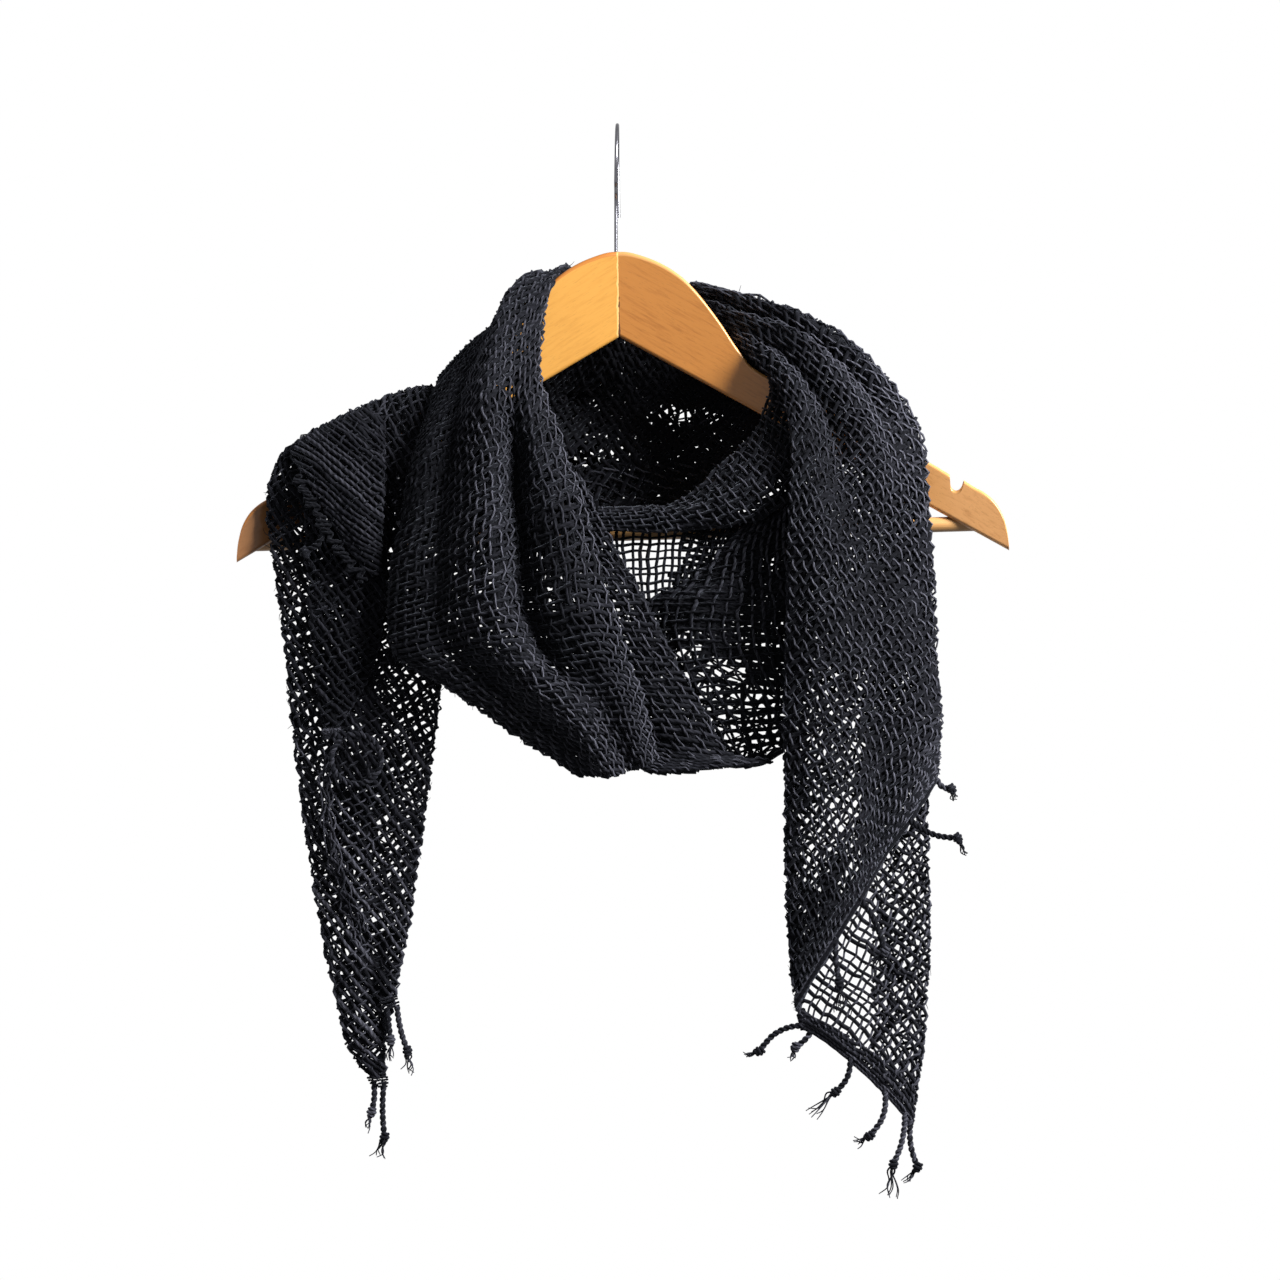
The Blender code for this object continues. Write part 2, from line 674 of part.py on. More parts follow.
def make_hanger(materials):
    left = make_arm("hanger_arm_left", -1, materials["wood"])
    right = make_arm("hanger_arm_right", 1, materials["wood"])
    start, end = bar_ends()
    heading = (end - start) / np.linalg.norm(end - start)
    bar = tube([start, (start + end) / 2, end], [BAR_RADIUS] * 3, 16)
    add_object("trouser_bar", *bar, materials["wood"])
    path = hook_path()
    hook = tube(path, [WIRE_RADIUS] * len(path), 8)
    add_object("hook", *hook, materials["chrome"])
    socket = [start - heading * FIT_GAP, end + heading * FIT_GAP]
    for arm in (left, right):
        wide = BAR_RADIUS + FIT_GAP
        bar_hole = add_object("bar_hole", *tube(socket, [wide] * 2, 16), materials["chrome"])
        stem = [Vector(path[0]) - Vector((0, 0, FIT_GAP)), path[4]]
        wide = WIRE_RADIUS + FIT_GAP
        stem_hole = add_object("stem_hole", *tube(stem, [wide] * 2, 8), materials["chrome"])
        combine(arm, [bar_hole, stem_hole], "DIFFERENCE")


def tassel(root, knot, tip, bow):
    """A cord from its root to its knot and its frayed tip."""
    root = np.asarray(root, float)
    knot = built(np.array(knot[0]), np.array(knot[1]), root[1])
    tip = built(np.array(tip[0]), np.array(tip[1]), root[1])
    side = np.cross(knot - root, (0, 1, 0))
    side = side / max(np.linalg.norm(side), 1e-9)
    belly = side * bow / 1000
    path = [root]
    for share in (0.3, 0.6, 0.86):
        path.append(root + (knot - root) * share + belly * math.sin(math.pi * share))
    radii = [CORD_RADIUS] * 4
    path += [knot, knot + (tip - knot) * 0.25, knot + (tip - knot) * 0.65, tip]
    radii += [KNOT_RADIUS, CORD_RADIUS, FRAY_RADIUS, CORD_RADIUS * 0.6]
    return tube(path, radii, 4)


def end_strip(stretch):
    """The narrow end of a stretch, which holds the roots of the tassels."""
    grid = cloth_points(stretch, np.linspace(0, 1, 12), np.array([0.99, 1.0]))
    heading = grid[1] - grid[0]
    heading = heading / np.linalg.norm(heading, axis=1, keepdims=True)
    return np.array([grid[1] + heading * (FRINGE_STRIP * share) for share in (0, 0.5, 1)])


def make_fringe(name, strip, tassels, material, more=()):
    """A strip with its tassels, whose roots lie along the strip's middle line."""
    points, faces = wall(strip, FRINGE_STRIP_THICK)
    body = add_object(name, points, faces, material)
    middle = strip[1]
    places = np.linspace(0, 1, len(middle))
    cords = list(more)
    for place, knot_x, knot_down, tip_x, tip_down, bow in tassels:
        root = [np.interp(place, places, middle[:, axis]) for axis in range(3)]
        shape = tassel(root, (knot_x, knot_down), (tip_x, tip_down), bow)
        cords.append(add_object(f"{name}_cord", *shape, material))
    combine(body, cords, "UNION")
    return body


def strip_from(sections, count):
    """A strip's points in three rows, from its left edge to its right edge."""
    lines = edge_lines(sections)
    lines = through(lines, np.linspace(0, len(sections) - 1, count))
    grid = arched(lines, np.array([0.0, 0.5, 1.0]))
    return grid.transpose(1, 0, 2)


def make_loop(material):
    """The long warp end that hangs in a ring on the front of the left tail."""
    turns = np.radians(np.linspace(LOOP_START_TURN, LOOP_END_TURN, 26))
    x = LOOP_X + LOOP_RADIUS * np.cos(turns)
    down = LOOP_DOWN - LOOP_RADIUS * np.sin(turns)
    path = built(x, down, np.full(len(turns), LOOP_DEPTH))
    path[:, 1] -= np.linspace(0, LOOP_RISE, len(turns))
    root = built(LOOP_ROOT_X, LOOP_ROOT_DOWN, np.array([LOOP_ROOT_DEPTH]))
    path = np.vstack([root, path])
    return add_object("loop", *tube(path, [CORD_RADIUS] * len(path), 4), material)


def make_fringes(materials):
    cotton = materials["cotton"]
    ends = (
        ("fringe_right_front", end_strip("right_tail"), RIGHT_FRONT_TASSELS),
        ("fringe_right_back", end_strip("right_tail_back"), RIGHT_BACK_TASSELS),
        ("fringe_left_end", end_strip("left_tail"), LEFT_END_TASSELS),
        ("fringe_left_side", strip_from(SIDE_EDGE, 2).transpose(1, 0, 2), LEFT_SIDE_TASSELS),
        ("fringe_left_flap", strip_from(FLAP_EDGE, 8), LEFT_FLAP_TASSELS),
    )
    for name, strip, tassels in ends:
        make_fringe(name, strip, tassels, cotton)
    loop = make_loop(cotton)
    make_fringe("fringe_left_middle", end_strip("left_tail_middle"), (), cotton, [loop])


def main():
    clear_scene()
    kinds = (COTTON, WOOD, CHROME)
    materials = {kind[0]: material_of(*kind) for kind in kinds}
    make_hanger(materials)
    make_cloth(materials)
    make_fringes(materials)


main()
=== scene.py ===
import math
import bpy
import numpy as np
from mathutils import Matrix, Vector


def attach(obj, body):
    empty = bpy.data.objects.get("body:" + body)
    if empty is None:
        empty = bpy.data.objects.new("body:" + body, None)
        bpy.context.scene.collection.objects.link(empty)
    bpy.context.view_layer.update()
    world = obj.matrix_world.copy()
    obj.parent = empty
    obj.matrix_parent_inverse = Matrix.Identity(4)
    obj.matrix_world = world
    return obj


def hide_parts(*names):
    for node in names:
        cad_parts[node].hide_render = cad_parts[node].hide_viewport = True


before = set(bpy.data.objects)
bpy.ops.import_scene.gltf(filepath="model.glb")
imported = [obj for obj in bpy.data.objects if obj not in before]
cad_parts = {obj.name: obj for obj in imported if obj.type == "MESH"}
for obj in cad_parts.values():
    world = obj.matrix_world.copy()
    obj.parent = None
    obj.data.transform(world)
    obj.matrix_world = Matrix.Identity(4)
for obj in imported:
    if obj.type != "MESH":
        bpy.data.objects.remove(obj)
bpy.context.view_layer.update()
print("frame loaded:", len(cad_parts), "nodes")

# The front view is drawn in units of 0.577 mm, x to the right and down from the top.
drawing = {
    "unit": 0.000577,
    "hookX": 617,
    "hookDown": 127,
    "eyeAway": 2.2,
    "eyeX": 0.013,
    "eyeZ": -0.296,
    "wide": 1280,
    "foldFade": 0.16,          # length over which a fold rises and ends
    "roundEdge": 0.6,
}

yarn = {
    "weftGirth": 0.00110,      # radius of the soft thick yarn
    "warpGirth": 0.00066,      # radius of the fine yarn
    "weftPitch": 0.0050,
    "warpPitch": 0.0046,
    "weftRise": 0.00035,
    "warpRise": 0.00135,
    "weftTone": (0.22, 0.62),
    "warpTone": (0.70, 1.0),
    "layerGap": 0.0034,
    "hiddenDeep": (0.0022, 0.0017),     # of a dense hidden layer, and of an open one
    "hiddenGirth": (0.00140, 0.00125),
    "densePitch": 0.0037,
    # Dark tones of the layers behind the front cloth: painted shade.
    "hiddenShadeTone": (0.0, 0.25),
    "ragged": 0.006,           # how far a hidden layer's edge strays
    "hairGirth": 0.00022,
    "looseEvery": 0.0045,      # length of edge for each loop or hair
    "wander": 0.0009,          # slow drift of the yarns in the cloth
    "driftWaves": (0.016, 0.034, 0.062),
    "shake": 0.10,             # share of a pitch by which single crossings stray
    "rowShake": 0.09,          # the same for whole rows
    "sway": 0.0006,            # slow rise and fall of the cloth
    "weftUneven": 0.13,        # share of its girth by which a yarn swells and thins
    "warpUneven": 0.09,
    "girthRange": (0.72, 1.45),
    "unevenEvery": 7,          # crossings from one thick or thin spot to the next
    "raggedWaves": (0.009, 0.017, 0.035),
    "hiddenRise": 0.0004,
    "hiddenTurn": (17, 9),     # degrees that hidden weft and warp lie apart from the shown
    "foldReach": 1.2,          # layer gaps that the cloth takes to turn round an edge
    "fineTo": 0.12,            # shares of the width past an edge that are still drawn finely
    "sides": 4,
    "seed": 11,
}

# The closely beaten rows at the scarf's ends, laid straight across.
beaten = {"weft": 0, "warp": 72, "weftPitch": 0.0025, "warpPitch": 0.0040, "weftGirth": 0.00105,
          "warpGirth": 0.00062, "deep": -0.0012}

# Hairs and small loops at the cloth's edges, from least to most.
loose = {"hairLong": (0.002, 0.006), "loopOut": (0.0016, 0.0030), "loopWide": (0.0016, 0.0034),
         "rows": (0.02, 0.98), "bend": 0.6, "points": 8, "tone": 0.7, "taper": 0.7,
         "hairRoot": 0.001, "loopRoot": 0.0006}       # roots lie this far inside the edge

roundTurn = 6.28               # near enough a full turn for the phases of waves
threeWaves = 1.7               # what three waves of height 1 seldom pass together
never = 9.0                    # an edge distance that no ragged edge reaches

# Each stretch: sections (left x, down, depth mm, right x, down, depth mm, fore mm, lift mm),
# folds (across at start, middle, end, from, to, height mm, width) and its weave.
# wraps is how far the cloth reaches round the left and right edges, in its own widths.
# hidden: cloth gathered behind (from, to across, from, to along, pitch), its yarns in dark tones as
# painted shade; it is partly real layers of cloth behind and partly dense dark patches laid where
# there is only deep shade. holes are the gaps in it (across, along, half width, half length); ends:
# closely beaten rows of weave.
# The spots of painted shade and painted light darken yarns where folds lie in shadow and pale them
# where ridges catch the light (across, along, half width, half length, change of tone);
# tone: the part of the range from dark to pale that the yarns take; stretches that lie in shade take
# a lower range, which is painted shade.
# gathered keeps the same number of yarns all the way down; level lays them by height alone.
# skew: degrees by which the cloth runs down from left to right, at its top and at its bottom;
# calm: share of the yarns' usual straying.
neckBand = {
    "node": "neck_band",
    "sections": [
        (440, 376, -4, 565.5, 264, -4, 2, 2),
        (429, 406, -36, 550, 292, -23.8, 8, 2),
        (413, 457, -58, 541, 366, -48, 13, 1),
        (398, 525, -66, 562, 438, -62, 17, 0),
        (386, 600, -70, 589, 511, -70, 18, 0),
        (394, 655, -71, 608, 588, -74, 18, 0),
        (444, 688, -73, 624, 646, -78, 17, 0),
        (508, 730, -77, 643, 696, -82, 14, 0),
        (572, 772, -82, 657, 757, -86, 6, -5),
    ],
    "folds": [
        (0.74, 0.52, 0.50, 0.00, 1.00, 9.0, 0.13),
        (0.96, 0.66, 0.60, 0.22, 0.86, -15.0, 0.065),
        (0.96, 0.88, 0.84, 0.20, 1.00, 6.0, 0.10),
        (0.40, 0.24, 0.26, 0.10, 0.92, -5.0, 0.08),
    ],
    "weft": 0, "warp": 92, "wraps": (-0.35, 1.45), "gathered": True, "held": "gathered",
    "skew": (30, -26), "hidden": [(0.0, 1.0, 0.0, 1.0, 0.0049), (0.45, 0.80, 0.30, 0.95, 0.0037)],
    "holes": [(0.10, 0.52, 0.07, 0.04), (0.16, 0.66, 0.05, 0.035)],
    "shaded": [(-0.1, 0.40, 0.36, 0.28, -0.95), (0.1, 0.08, 0.3, 0.2, -0.5),
               (0.72, 0.58, 0.10, 0.26, -0.8), (0.44, 0.55, 0.12, 0.30, 0.25),
               (0.45, 0.04, 0.45, 0.10, -0.35)],
}
bandInner = {
    "node": "neck_band_inner_strip",
    "sections": [
        (528, 462, -52, 580, 474, -58, 3, 0),
        (536, 530, -55, 607, 530, -62, 4, 0),
        (550, 590, -58, 643, 592, -66, 7.5, 0),
        (568, 650, -62, 673, 652, -69, 7, 0),
        (588, 705, -66, 702, 704, -71, 7, 0),
        (612, 752, -70, 731, 752, -73, 5, 0),
        (646, 771, -78, 774, 759, -74, 4, -2),
    ],
    "folds": [(0.60, 0.62, 0.66, 0.20, 1.00, 2.0, 0.16)],
    "weft": 6, "warp": 82, "wraps": (0.0, 1.5), "gathered": True, "held": "gathered",
    "skew": (20, -10), "tone": (-0.05, 0.9),
    "hidden": [(0.0, 1.0, 0.0, 1.0, 0.0046)],
}
bandUnder = {
    "node": "neck_band_under",
    "sections": [
        (452, 410, -43, 530, 352, -34, 0, 3),
        (430, 480, -58, 532, 410, -42, 0, 0),
        (412, 560, -63, 528, 490, -44, 0, 0),
        (408, 630, -64, 525, 570, -46, -1, 0),
        (445, 676, -66, 535, 640, -52, -2, 0),
        (500, 716, -73, 570, 695, -60, -2, 0),
        (546, 750, -81.8, 592, 722, -75, 0, 0),
    ],
    "folds": [],
    "weft": 5, "warp": 80, "wraps": (0.0, 1.0), "gathered": True, "held": "gathered",
    "hidden": [(0.2, 1.0, 0.0, 1.0, 0.0050)],
}
lowerSwag = {
    "node": "lower_swag",
    "sections": [
        (768, 500, -48, 806, 484, -50, 2, 0),
        (728, 538, -49, 808, 540, -53, 4, 0),
        (690, 577, -50, 808, 600, -56, 6, 0),
        (642, 604, -50, 806, 650, -58, 7, 0),
        (622, 660, -50, 803, 695, -59, 7, 0),
        (630, 710, -53, 797, 728, -60, 6, 0),
        (655, 745, -56, 788, 748, -62, 4, 0),
        (690, 766, -60, 770, 760, -63, 2, 0),
    ],
    "folds": [
        (0.30, 0.30, 0.34, 0.15, 0.90, 3.0, 0.10),
        (0.60, 0.58, 0.60, 0.10, 0.90, -4.0, 0.10),
        (0.82, 0.80, 0.78, 0.10, 0.90, 2.5, 0.10),
    ],
    "weft": 66, "warp": -22, "wraps": (-0.6, 1.6), "gathered": True, "held": "draped",
    "weftPitch": 0.0062, "warpPitch": 0.0050, "weftGirth": 0.00090, "weftRise": 0.0006,
    "tone": (-0.12, 0.92), "weftTone": (0.72, 1.0), "warpTone": (0.22, 0.60),
    "shaded": [(0.05, 0.55, 0.36, 0.20, -0.95), (1.0, 0.35, 0.25, 0.3, -0.5),
               (0.5, 0.32, 0.35, 0.16, 0.35), (0.4, 0.9, 0.8, 0.24, -0.6)],
    "hidden": [(0.0, 1.0, 0.0, 0.58, 0.0034), (0.0, 0.4, 0.5, 1.0, 0.0036),
               (0.0, 1.0, 0.86, 1.0, 0.0040), (0.0, 1.0, 0.5, 0.9, 0.0058)],
}
collarRoll = {
    "node": "collar_roll",
    "sections": [
        (752, 352, -12, 815, 384, -16, 0, 3),
        (768, 392, -36, 818, 428, -46, 4, 2),
        (748, 436, -42, 806, 486, -58, 8, 0),
        (718, 465, -46, 762, 520, -58, 9, 0),
        (680, 497, -46, 708, 528, -55, 7, 0),
        (640, 508, -45, 652, 533, -52, 5, 0),
        (597, 508, -44, 600, 530, -49, 3, 0),
    ],
    "folds": [(0.55, 0.50, 0.50, 0.05, 0.80, 2.5, 0.20)],
    "weft": 84, "warp": -4, "wraps": (-0.5, 1.5), "gathered": True, "held": "gathered",
    "tone": (-0.08, 0.82),
    "hidden": [(0.0, 1.0, 0.0, 1.0, 0.0040)],
}
netPanel = {
    "node": "net_panel",
    "sections": [
        (600, 515, -45.1, 772, 512, -45.5, 0, 0),
        (604, 558, -46.0, 760, 552, -45.5, 0, 0),
        (622, 600, -47.2, 735, 588, -46.4, 0, 0),
        (642, 640, -47.4, 712, 625, -46.6, 0, 0),
    ],
    "folds": [],
    "weft": 0, "warp": 96, "weftPitch": 0.0042, "warpPitch": 0.0038, "weftGirth": 0.00078,
    "warpGirth": 0.00090, "wraps": (0.0, 1.0), "gathered": True, "held": "draped", "calm": 0.75,
    "weftTone": (0.1, 0.4), "warpTone": (0.2, 0.5), "ragged": 0.0012,
    "hidden": [(0.48, 1.0, 0.0, 1.0, 0.0040), (0.41, 1.0, 0.42, 1.0, 0.0040)],
}
neckBackInner = {
    "node": "neck_back_inner",
    "sections": [
        (434, 388, -14, 286, 453, -36, 0, 8),
        (452, 396, 14, 312, 490, -14, -4, 5),
        (515, 350, 20, 395, 530, 10, -10, 0),
        (585, 310, 20, 520, 540, 30, -14, 0),
        (650, 308, 20, 650, 530, 34, -14, 0),
        (705, 330, 18, 745, 505, 28, -10, 0),
        (740, 346, 12, 800, 425, 14, -6, 2),
        (752, 352, -12, 815, 384, -16, 0, 3),
    ],
    "folds": [
        (0.30, 0.42, 0.30, 0.10, 0.90, 5.0, 0.10),
        (0.50, 0.62, 0.50, 0.10, 0.90, -4.0, 0.10),
    ],
    "weft": 28, "warp": 112, "wraps": (0.0, 1.3), "gathered": True, "held": "draped",
    "tone": (-0.05, 0.9),
    "hidden": [(0.0, 1.0, 0.0, 1.0, 0.0036)],
    "holes": [(0.50, 0.66, 0.05, 0.055), (0.38, 0.45, 0.025, 0.02), (0.66, 0.48, 0.03, 0.022)],
}
neckBackOuter = {
    "node": "neck_back_outer",
    "sections": [
        (565.5, 264, -4, 440, 376, -4, 2, 2),
        (575, 276, 28, 440, 420, 30, -6, 6),
        (597, 300, 38, 480, 490, 50, -12, 0),
        (640, 304, 40, 590, 524, 60, -14, 0),
        (675, 300, 38, 710, 515, 58, -12, 0),
        (692, 292, 36, 830, 452, 38, -8, 8),
        (690, 288, 33, 920, 424, -28, -5, 26),
    ],
    "folds": [
        (0.20, 0.25, 0.20, 0.05, 0.95, -5.0, 0.08),
        (0.45, 0.50, 0.45, 0.05, 0.95, 5.0, 0.09),
        (0.70, 0.74, 0.66, 0.05, 0.95, -5.0, 0.09),
    ],
    "weft": -6, "warp": 84, "wraps": (-0.2, 1.25), "gathered": True, "held": "draped",
    "hidden": [(0.0, 1.0, 0.0, 1.0, 0.0036)],
    "holes": [(0.52, 0.62, 0.05, 0.06), (0.46, 0.45, 0.03, 0.025), (0.70, 0.50, 0.03, 0.025)],
}
rightTail = {
    "node": "right_tail",
    "sections": [
        (728, 334, 12, 690, 281, 25, 0, 0),
        (752, 362, -23.6, 745, 294, 14, 4, 0),
        (776, 388, -46, 797, 310, 2, 6, 1),
        (787, 422, -64, 847, 338, -8, 8, 1),
        (790, 465, -74, 890, 380, -22, 10, 0),
        (787, 515, -80, 921, 432, -38, 12, 0),
        (785, 575, -83, 930, 500, -54, 12, 0),
        (783, 660, -84, 936, 620, -60, 13, 0),
        (782, 750, -84, 942, 704, -62, 13, 0),
        (783, 850, -82, 942, 738, -62, 12, 1),
        (786, 935, -80, 940, 762, -62, 10, 2),
        (794, 1000, -79, 937, 774, -62, 8, 3),
    ],
    "folds": [
        (0.92, 0.90, 0.84, 0.00, 0.52, 3.5, 0.07),
        (0.76, 0.83, 0.83, 0.00, 0.46, -6.0, 0.055),
        (0.62, 0.64, 0.60, 0.02, 0.62, 4.0, 0.09),
        (0.38, 0.44, 0.44, 0.04, 0.50, -7.0, 0.07),
        (0.18, 0.22, 0.26, 0.10, 0.95, 3.0, 0.12),
        (0.70, 0.62, 0.62, 0.50, 1.00, -3.5, 0.12),
    ],
    "weft": -38, "warp": 58, "level": True, "wraps": (-0.14, 1.5), "held": "hung",
    "weftTone": (0.08, 0.42), "warpTone": (0.75, 1.0),
    "shaded": [(1.0, 0.72, 0.36, 0.38, 0.9), (0.5, 0.0, 0.6, 0.08, -0.4),
               (0.3, 0.38, 0.25, 0.14, -0.2), (0.12, 0.93, 0.25, 0.05, -0.5),
               (0.42, 0.10, 0.10, 0.05, -0.6), (0.53, 0.18, 0.07, 0.05, -0.65),
               (0.40, 0.29, 0.05, 0.06, -0.5), (0.44, 0.36, 0.04, 0.05, -0.5),
               (0.72, 0.08, 0.08, 0.05, -0.6), (0.86, 0.15, 0.05, 0.04, -0.65),
               (0.90, 0.25, 0.045, 0.08, -0.75)],
    "hidden": [(0.0, 1.0, 0.0, 0.68, 0.0036), (0.42, 1.0, 0.58, 0.93, 0.0043),
               (0.0, 0.12, 0.4, 1.0, 0.0040), (0.0, 0.5, 0.5, 0.8, 0.0062),
               (0.0, 0.42, 0.87, 1.0, 0.0037)],
    "ends": [(0.0, 1.0, 0.955, 1.0)],
}
rightTailBack = {
    "node": "right_tail_back",
    "sections": [
        (808, 482, -70, 905, 480, -46, 3, 0),
        (787, 600, -80.4, 922, 580, -50, 5, 0),
        (786.5, 700, -81.6, 928, 690, -52, 6, 0),
        (790, 800, -73, 929, 800, -54, 6, 0),
        (790, 900, -72, 931, 905, -55, 5, 0),
        (793, 980, -71, 929, 985, -56, 4, 2),
        (795, 1005, -71, 924, 1052, -57, 3, 6),
        (798, 1021, -71, 913, 1120, -58, 2, 8),
    ],
    "folds": [(0.70, 0.72, 0.80, 0.10, 0.95, -2.5, 0.12)],
    "weft": 38, "warp": -62, "level": True, "wraps": (-0.06, 1.42), "held": "hung",
    "warpGirth": 0.00082, "weftGirth": 0.00118, "hidden": [(0.62, 0.80, 0.45, 0.95, 0.0045)],
    "ends": [(0.0, 1.0, 0.945, 1.0)],
}
leftTail = {
    "node": "left_tail",
    "sections": [
        (286, 453, -36, 434, 388, -14, 0, 8),
        (268, 482, -48, 440, 417, -36, 2, 4),
        (266, 525, -51, 446, 500, -46, 2, 0),
        (275, 590, -52, 447, 600, -50, 3, 0),
        (284, 660, -52, 442, 680, -52, 3, 0),
        (292, 745, -52, 435, 750, -52, 4, 0),
        (304, 840, -52, 424, 836, -52, 5, 0),
        (320, 932, -52, 410, 930, -52, 5, 0),
        (336, 1010, -53, 396, 1000, -53, 4, 0),
        (347, 1052, -54, 387, 1042, -54, 3, 0),
        (367, 1078, -55, 387, 1077, -55, 1, 0),
    ],
    "folds": [
        (0.60, 0.62, 0.60, 0.12, 0.85, -2.5, 0.10),
        (0.30, 0.34, 0.40, 0.45, 1.00, 2.0, 0.14),
    ],
    "weft": 58, "warp": -31, "level": True, "wraps": (-0.6, 1.5), "held": "hung",
    "weftTone": (0.30, 0.75), "warpTone": (0.35, 0.80), "warpGirth": 0.00060, "tone": (-0.04, 0.95),
    "shaded": [(0.5, 0.75, 0.8, 0.25, 0.45), (0.70, 0.77, 0.13, 0.045, -0.9)],
    "hidden": [(0.0, 1.0, 0.0, 0.18, 0.0037), (0.0, 1.0, 0.1, 0.92, 0.0058),
               (0.18, 0.70, 0.1, 0.8, 0.0048), (0.0, 1.0, 0.90, 1.0, 0.0036),
               (0.42, 0.94, 0.70, 0.85, 0.0036)],
}
leftMiddle = {
    "node": "left_tail_middle",
    "sections": [
        (302, 485, -55.0, 386, 478, -53.5, 2, 0),
        (305, 560, -58.0, 388, 560, -56.5, 2, 0),
        (308, 620, -58.5, 385, 620, -57.5, 2, 0),
        (313, 680, -58.5, 369, 680, -58.0, 2, 0),
        (322, 730, -58.5, 340, 728, -58.5, 1, 0),
    ],
    "folds": [(0.50, 0.52, 0.50, 0.05, 0.95, 1.5, 0.18)],
    "weft": 56, "warp": -30, "level": True, "wraps": (0.0, 1.5), "held": "hung",
    "tone": (-0.08, 0.8), "weftTone": (0.30, 0.75), "warpTone": (0.35, 0.80),
    "hidden": [(0.0, 1.0, 0.0, 1.0, 0.0044)],
}
leftFlap = {
    "node": "left_flap",
    "sections": [
        (288, 455, -48, 386, 404, -34, 2, 5),
        (302, 474, -58, 386, 440, -49, 3, 0),
        (320, 505, -63, 385, 490, -60, 3, 0),
        (340, 540, -65, 383, 535, -63, 2, 0),
        (370, 577, -65, 381, 574, -64, 1, 0),
    ],
    "folds": [(0.45, 0.50, 0.50, 0.02, 0.95, 2.0, 0.20)],
    "weft": 57, "warp": -30, "level": True, "wraps": (0.0, 1.0), "held": "hung",
    "weftPitch": 0.0036, "weftTone": (0.30, 0.70), "warpTone": (0.30, 0.60), "warpGirth": 0.00055,
    "hidden": [(0.0, 1.0, 0.0, 1.0, 0.0040)],
}
stretches = [neckBand, bandInner, bandUnder, lowerSwag, collarRoll, netPanel, neckBackInner,
             neckBackOuter, rightTail, rightTailBack, leftTail, leftMiddle, leftFlap]
byNode = {stretch["node"]: stretch for stretch in stretches}
flapEdge = [
    (291.5, 477, -60, 300.0, 474, -59, 0, 0),
    (309.5, 508, -65, 318.0, 506, -64, 0, 0),
    (329.3, 544, -67, 337.8, 541, -66, 0, 0),
    (360.5, 583, -67, 368.0, 579, -66, 0, 0),
]
sideEdge = [
    (379, 1001, -59.6, 397, 996, -56.7, 0.5, 0),
    (381, 1010, -59.6, 399, 1005, -56.7, 0.5, 0),
]

# Over a crest the cloth runs on into this section of its neighbour: (above, below) the stretch,
# and True where left and right change places.
runsOn = {
    "neck_band": ((neckBackOuter["sections"][1], True), None),
    "neck_back_outer": ((neckBand["sections"][1], True), None),
    "left_tail": ((neckBackInner["sections"][1], True), None),
    "neck_back_inner": ((leftTail["sections"][1], True), (collarRoll["sections"][1], False)),
    "collar_roll": ((neckBackInner["sections"][-2], False), None),
}
meeting = {"node": "neck_back_outer", "onto": "right_tail", "upTo": 0.44, "share": 0.3,
           "gap": 0.0040}


def built(x, down, depth):
    nearer = (drawing["eyeAway"] + depth) / drawing["eyeAway"]
    across = (x - drawing["hookX"]) * drawing["unit"]
    height = (drawing["hookDown"] - down) * drawing["unit"]
    return np.stack([
        drawing["eyeX"] + (across - drawing["eyeX"]) * nearer,
        depth + 0 * across,
        drawing["eyeZ"] + (height - drawing["eyeZ"]) * nearer,
    ], axis=-1)


def through(rows, place, before=None, after=None):
    last = len(rows) - 1
    first = np.clip(np.floor(place).astype(int), 0, last - 1)
    part = (place - first)[:, None]
    before = 2 * rows[0] - rows[1] if before is None else before
    after = 2 * rows[-1] - rows[-2] if after is None else after
    padded = np.vstack([before, rows, after])
    a, b, c, d = (padded[first + step] for step in range(4))
    return 0.5 * (2 * b + (c - a) * part + (2 * a - 5 * b + 4 * c - d) * part**2
                  + (3 * b - a - 3 * c + d) * part**3)


def eased(share):
    return share * share * (3 - 2 * share)


def unit(vectors):
    return vectors / np.maximum(np.linalg.norm(vectors, axis=-1, keepdims=True), 1e-9)


def walkedAlong(line):
    # Length of a line up to each of its points.
    steps = np.linalg.norm(np.diff(line, axis=0), axis=1)
    return np.concatenate([[0], np.cumsum(steps)])


def readAlong(where, places, line):
    # Points of a line, or values of a table, read at other places.
    return np.stack([np.interp(where, places, column) for column in np.transpose(line)], axis=-1)


def facing(grid):
    along, across = np.gradient(grid, axis=(0, 1))
    return unit(np.cross(along, across))


def edgeLines(sections):
    table = np.array(sections, float)
    left = built(table[:, 0], table[:, 1], table[:, 2] / 1000)
    right = built(table[:, 3], table[:, 4], table[:, 5] / 1000)
    return np.hstack([left, right, table[:, 6:8] / 1000])


def nextSection(entry):
    if entry is None:
        return None
    line = edgeLines([entry[0]])[0]
    return np.hstack([line[3:6], line[0:3], line[6:8]]) if entry[1] else line


def arched(lines, across):
    share = across[None, :, None]
    grid = lines[:, None, 0:3] * (1 - share) + lines[:, None, 3:6] * share
    arch = np.maximum(1 - (2 * across - 1) ** 2, 0) ** drawing["roundEdge"]
    grid[:, :, 1] -= lines[:, 6:7] * arch
    grid[:, :, 2] += lines[:, 7:8] * arch
    return grid


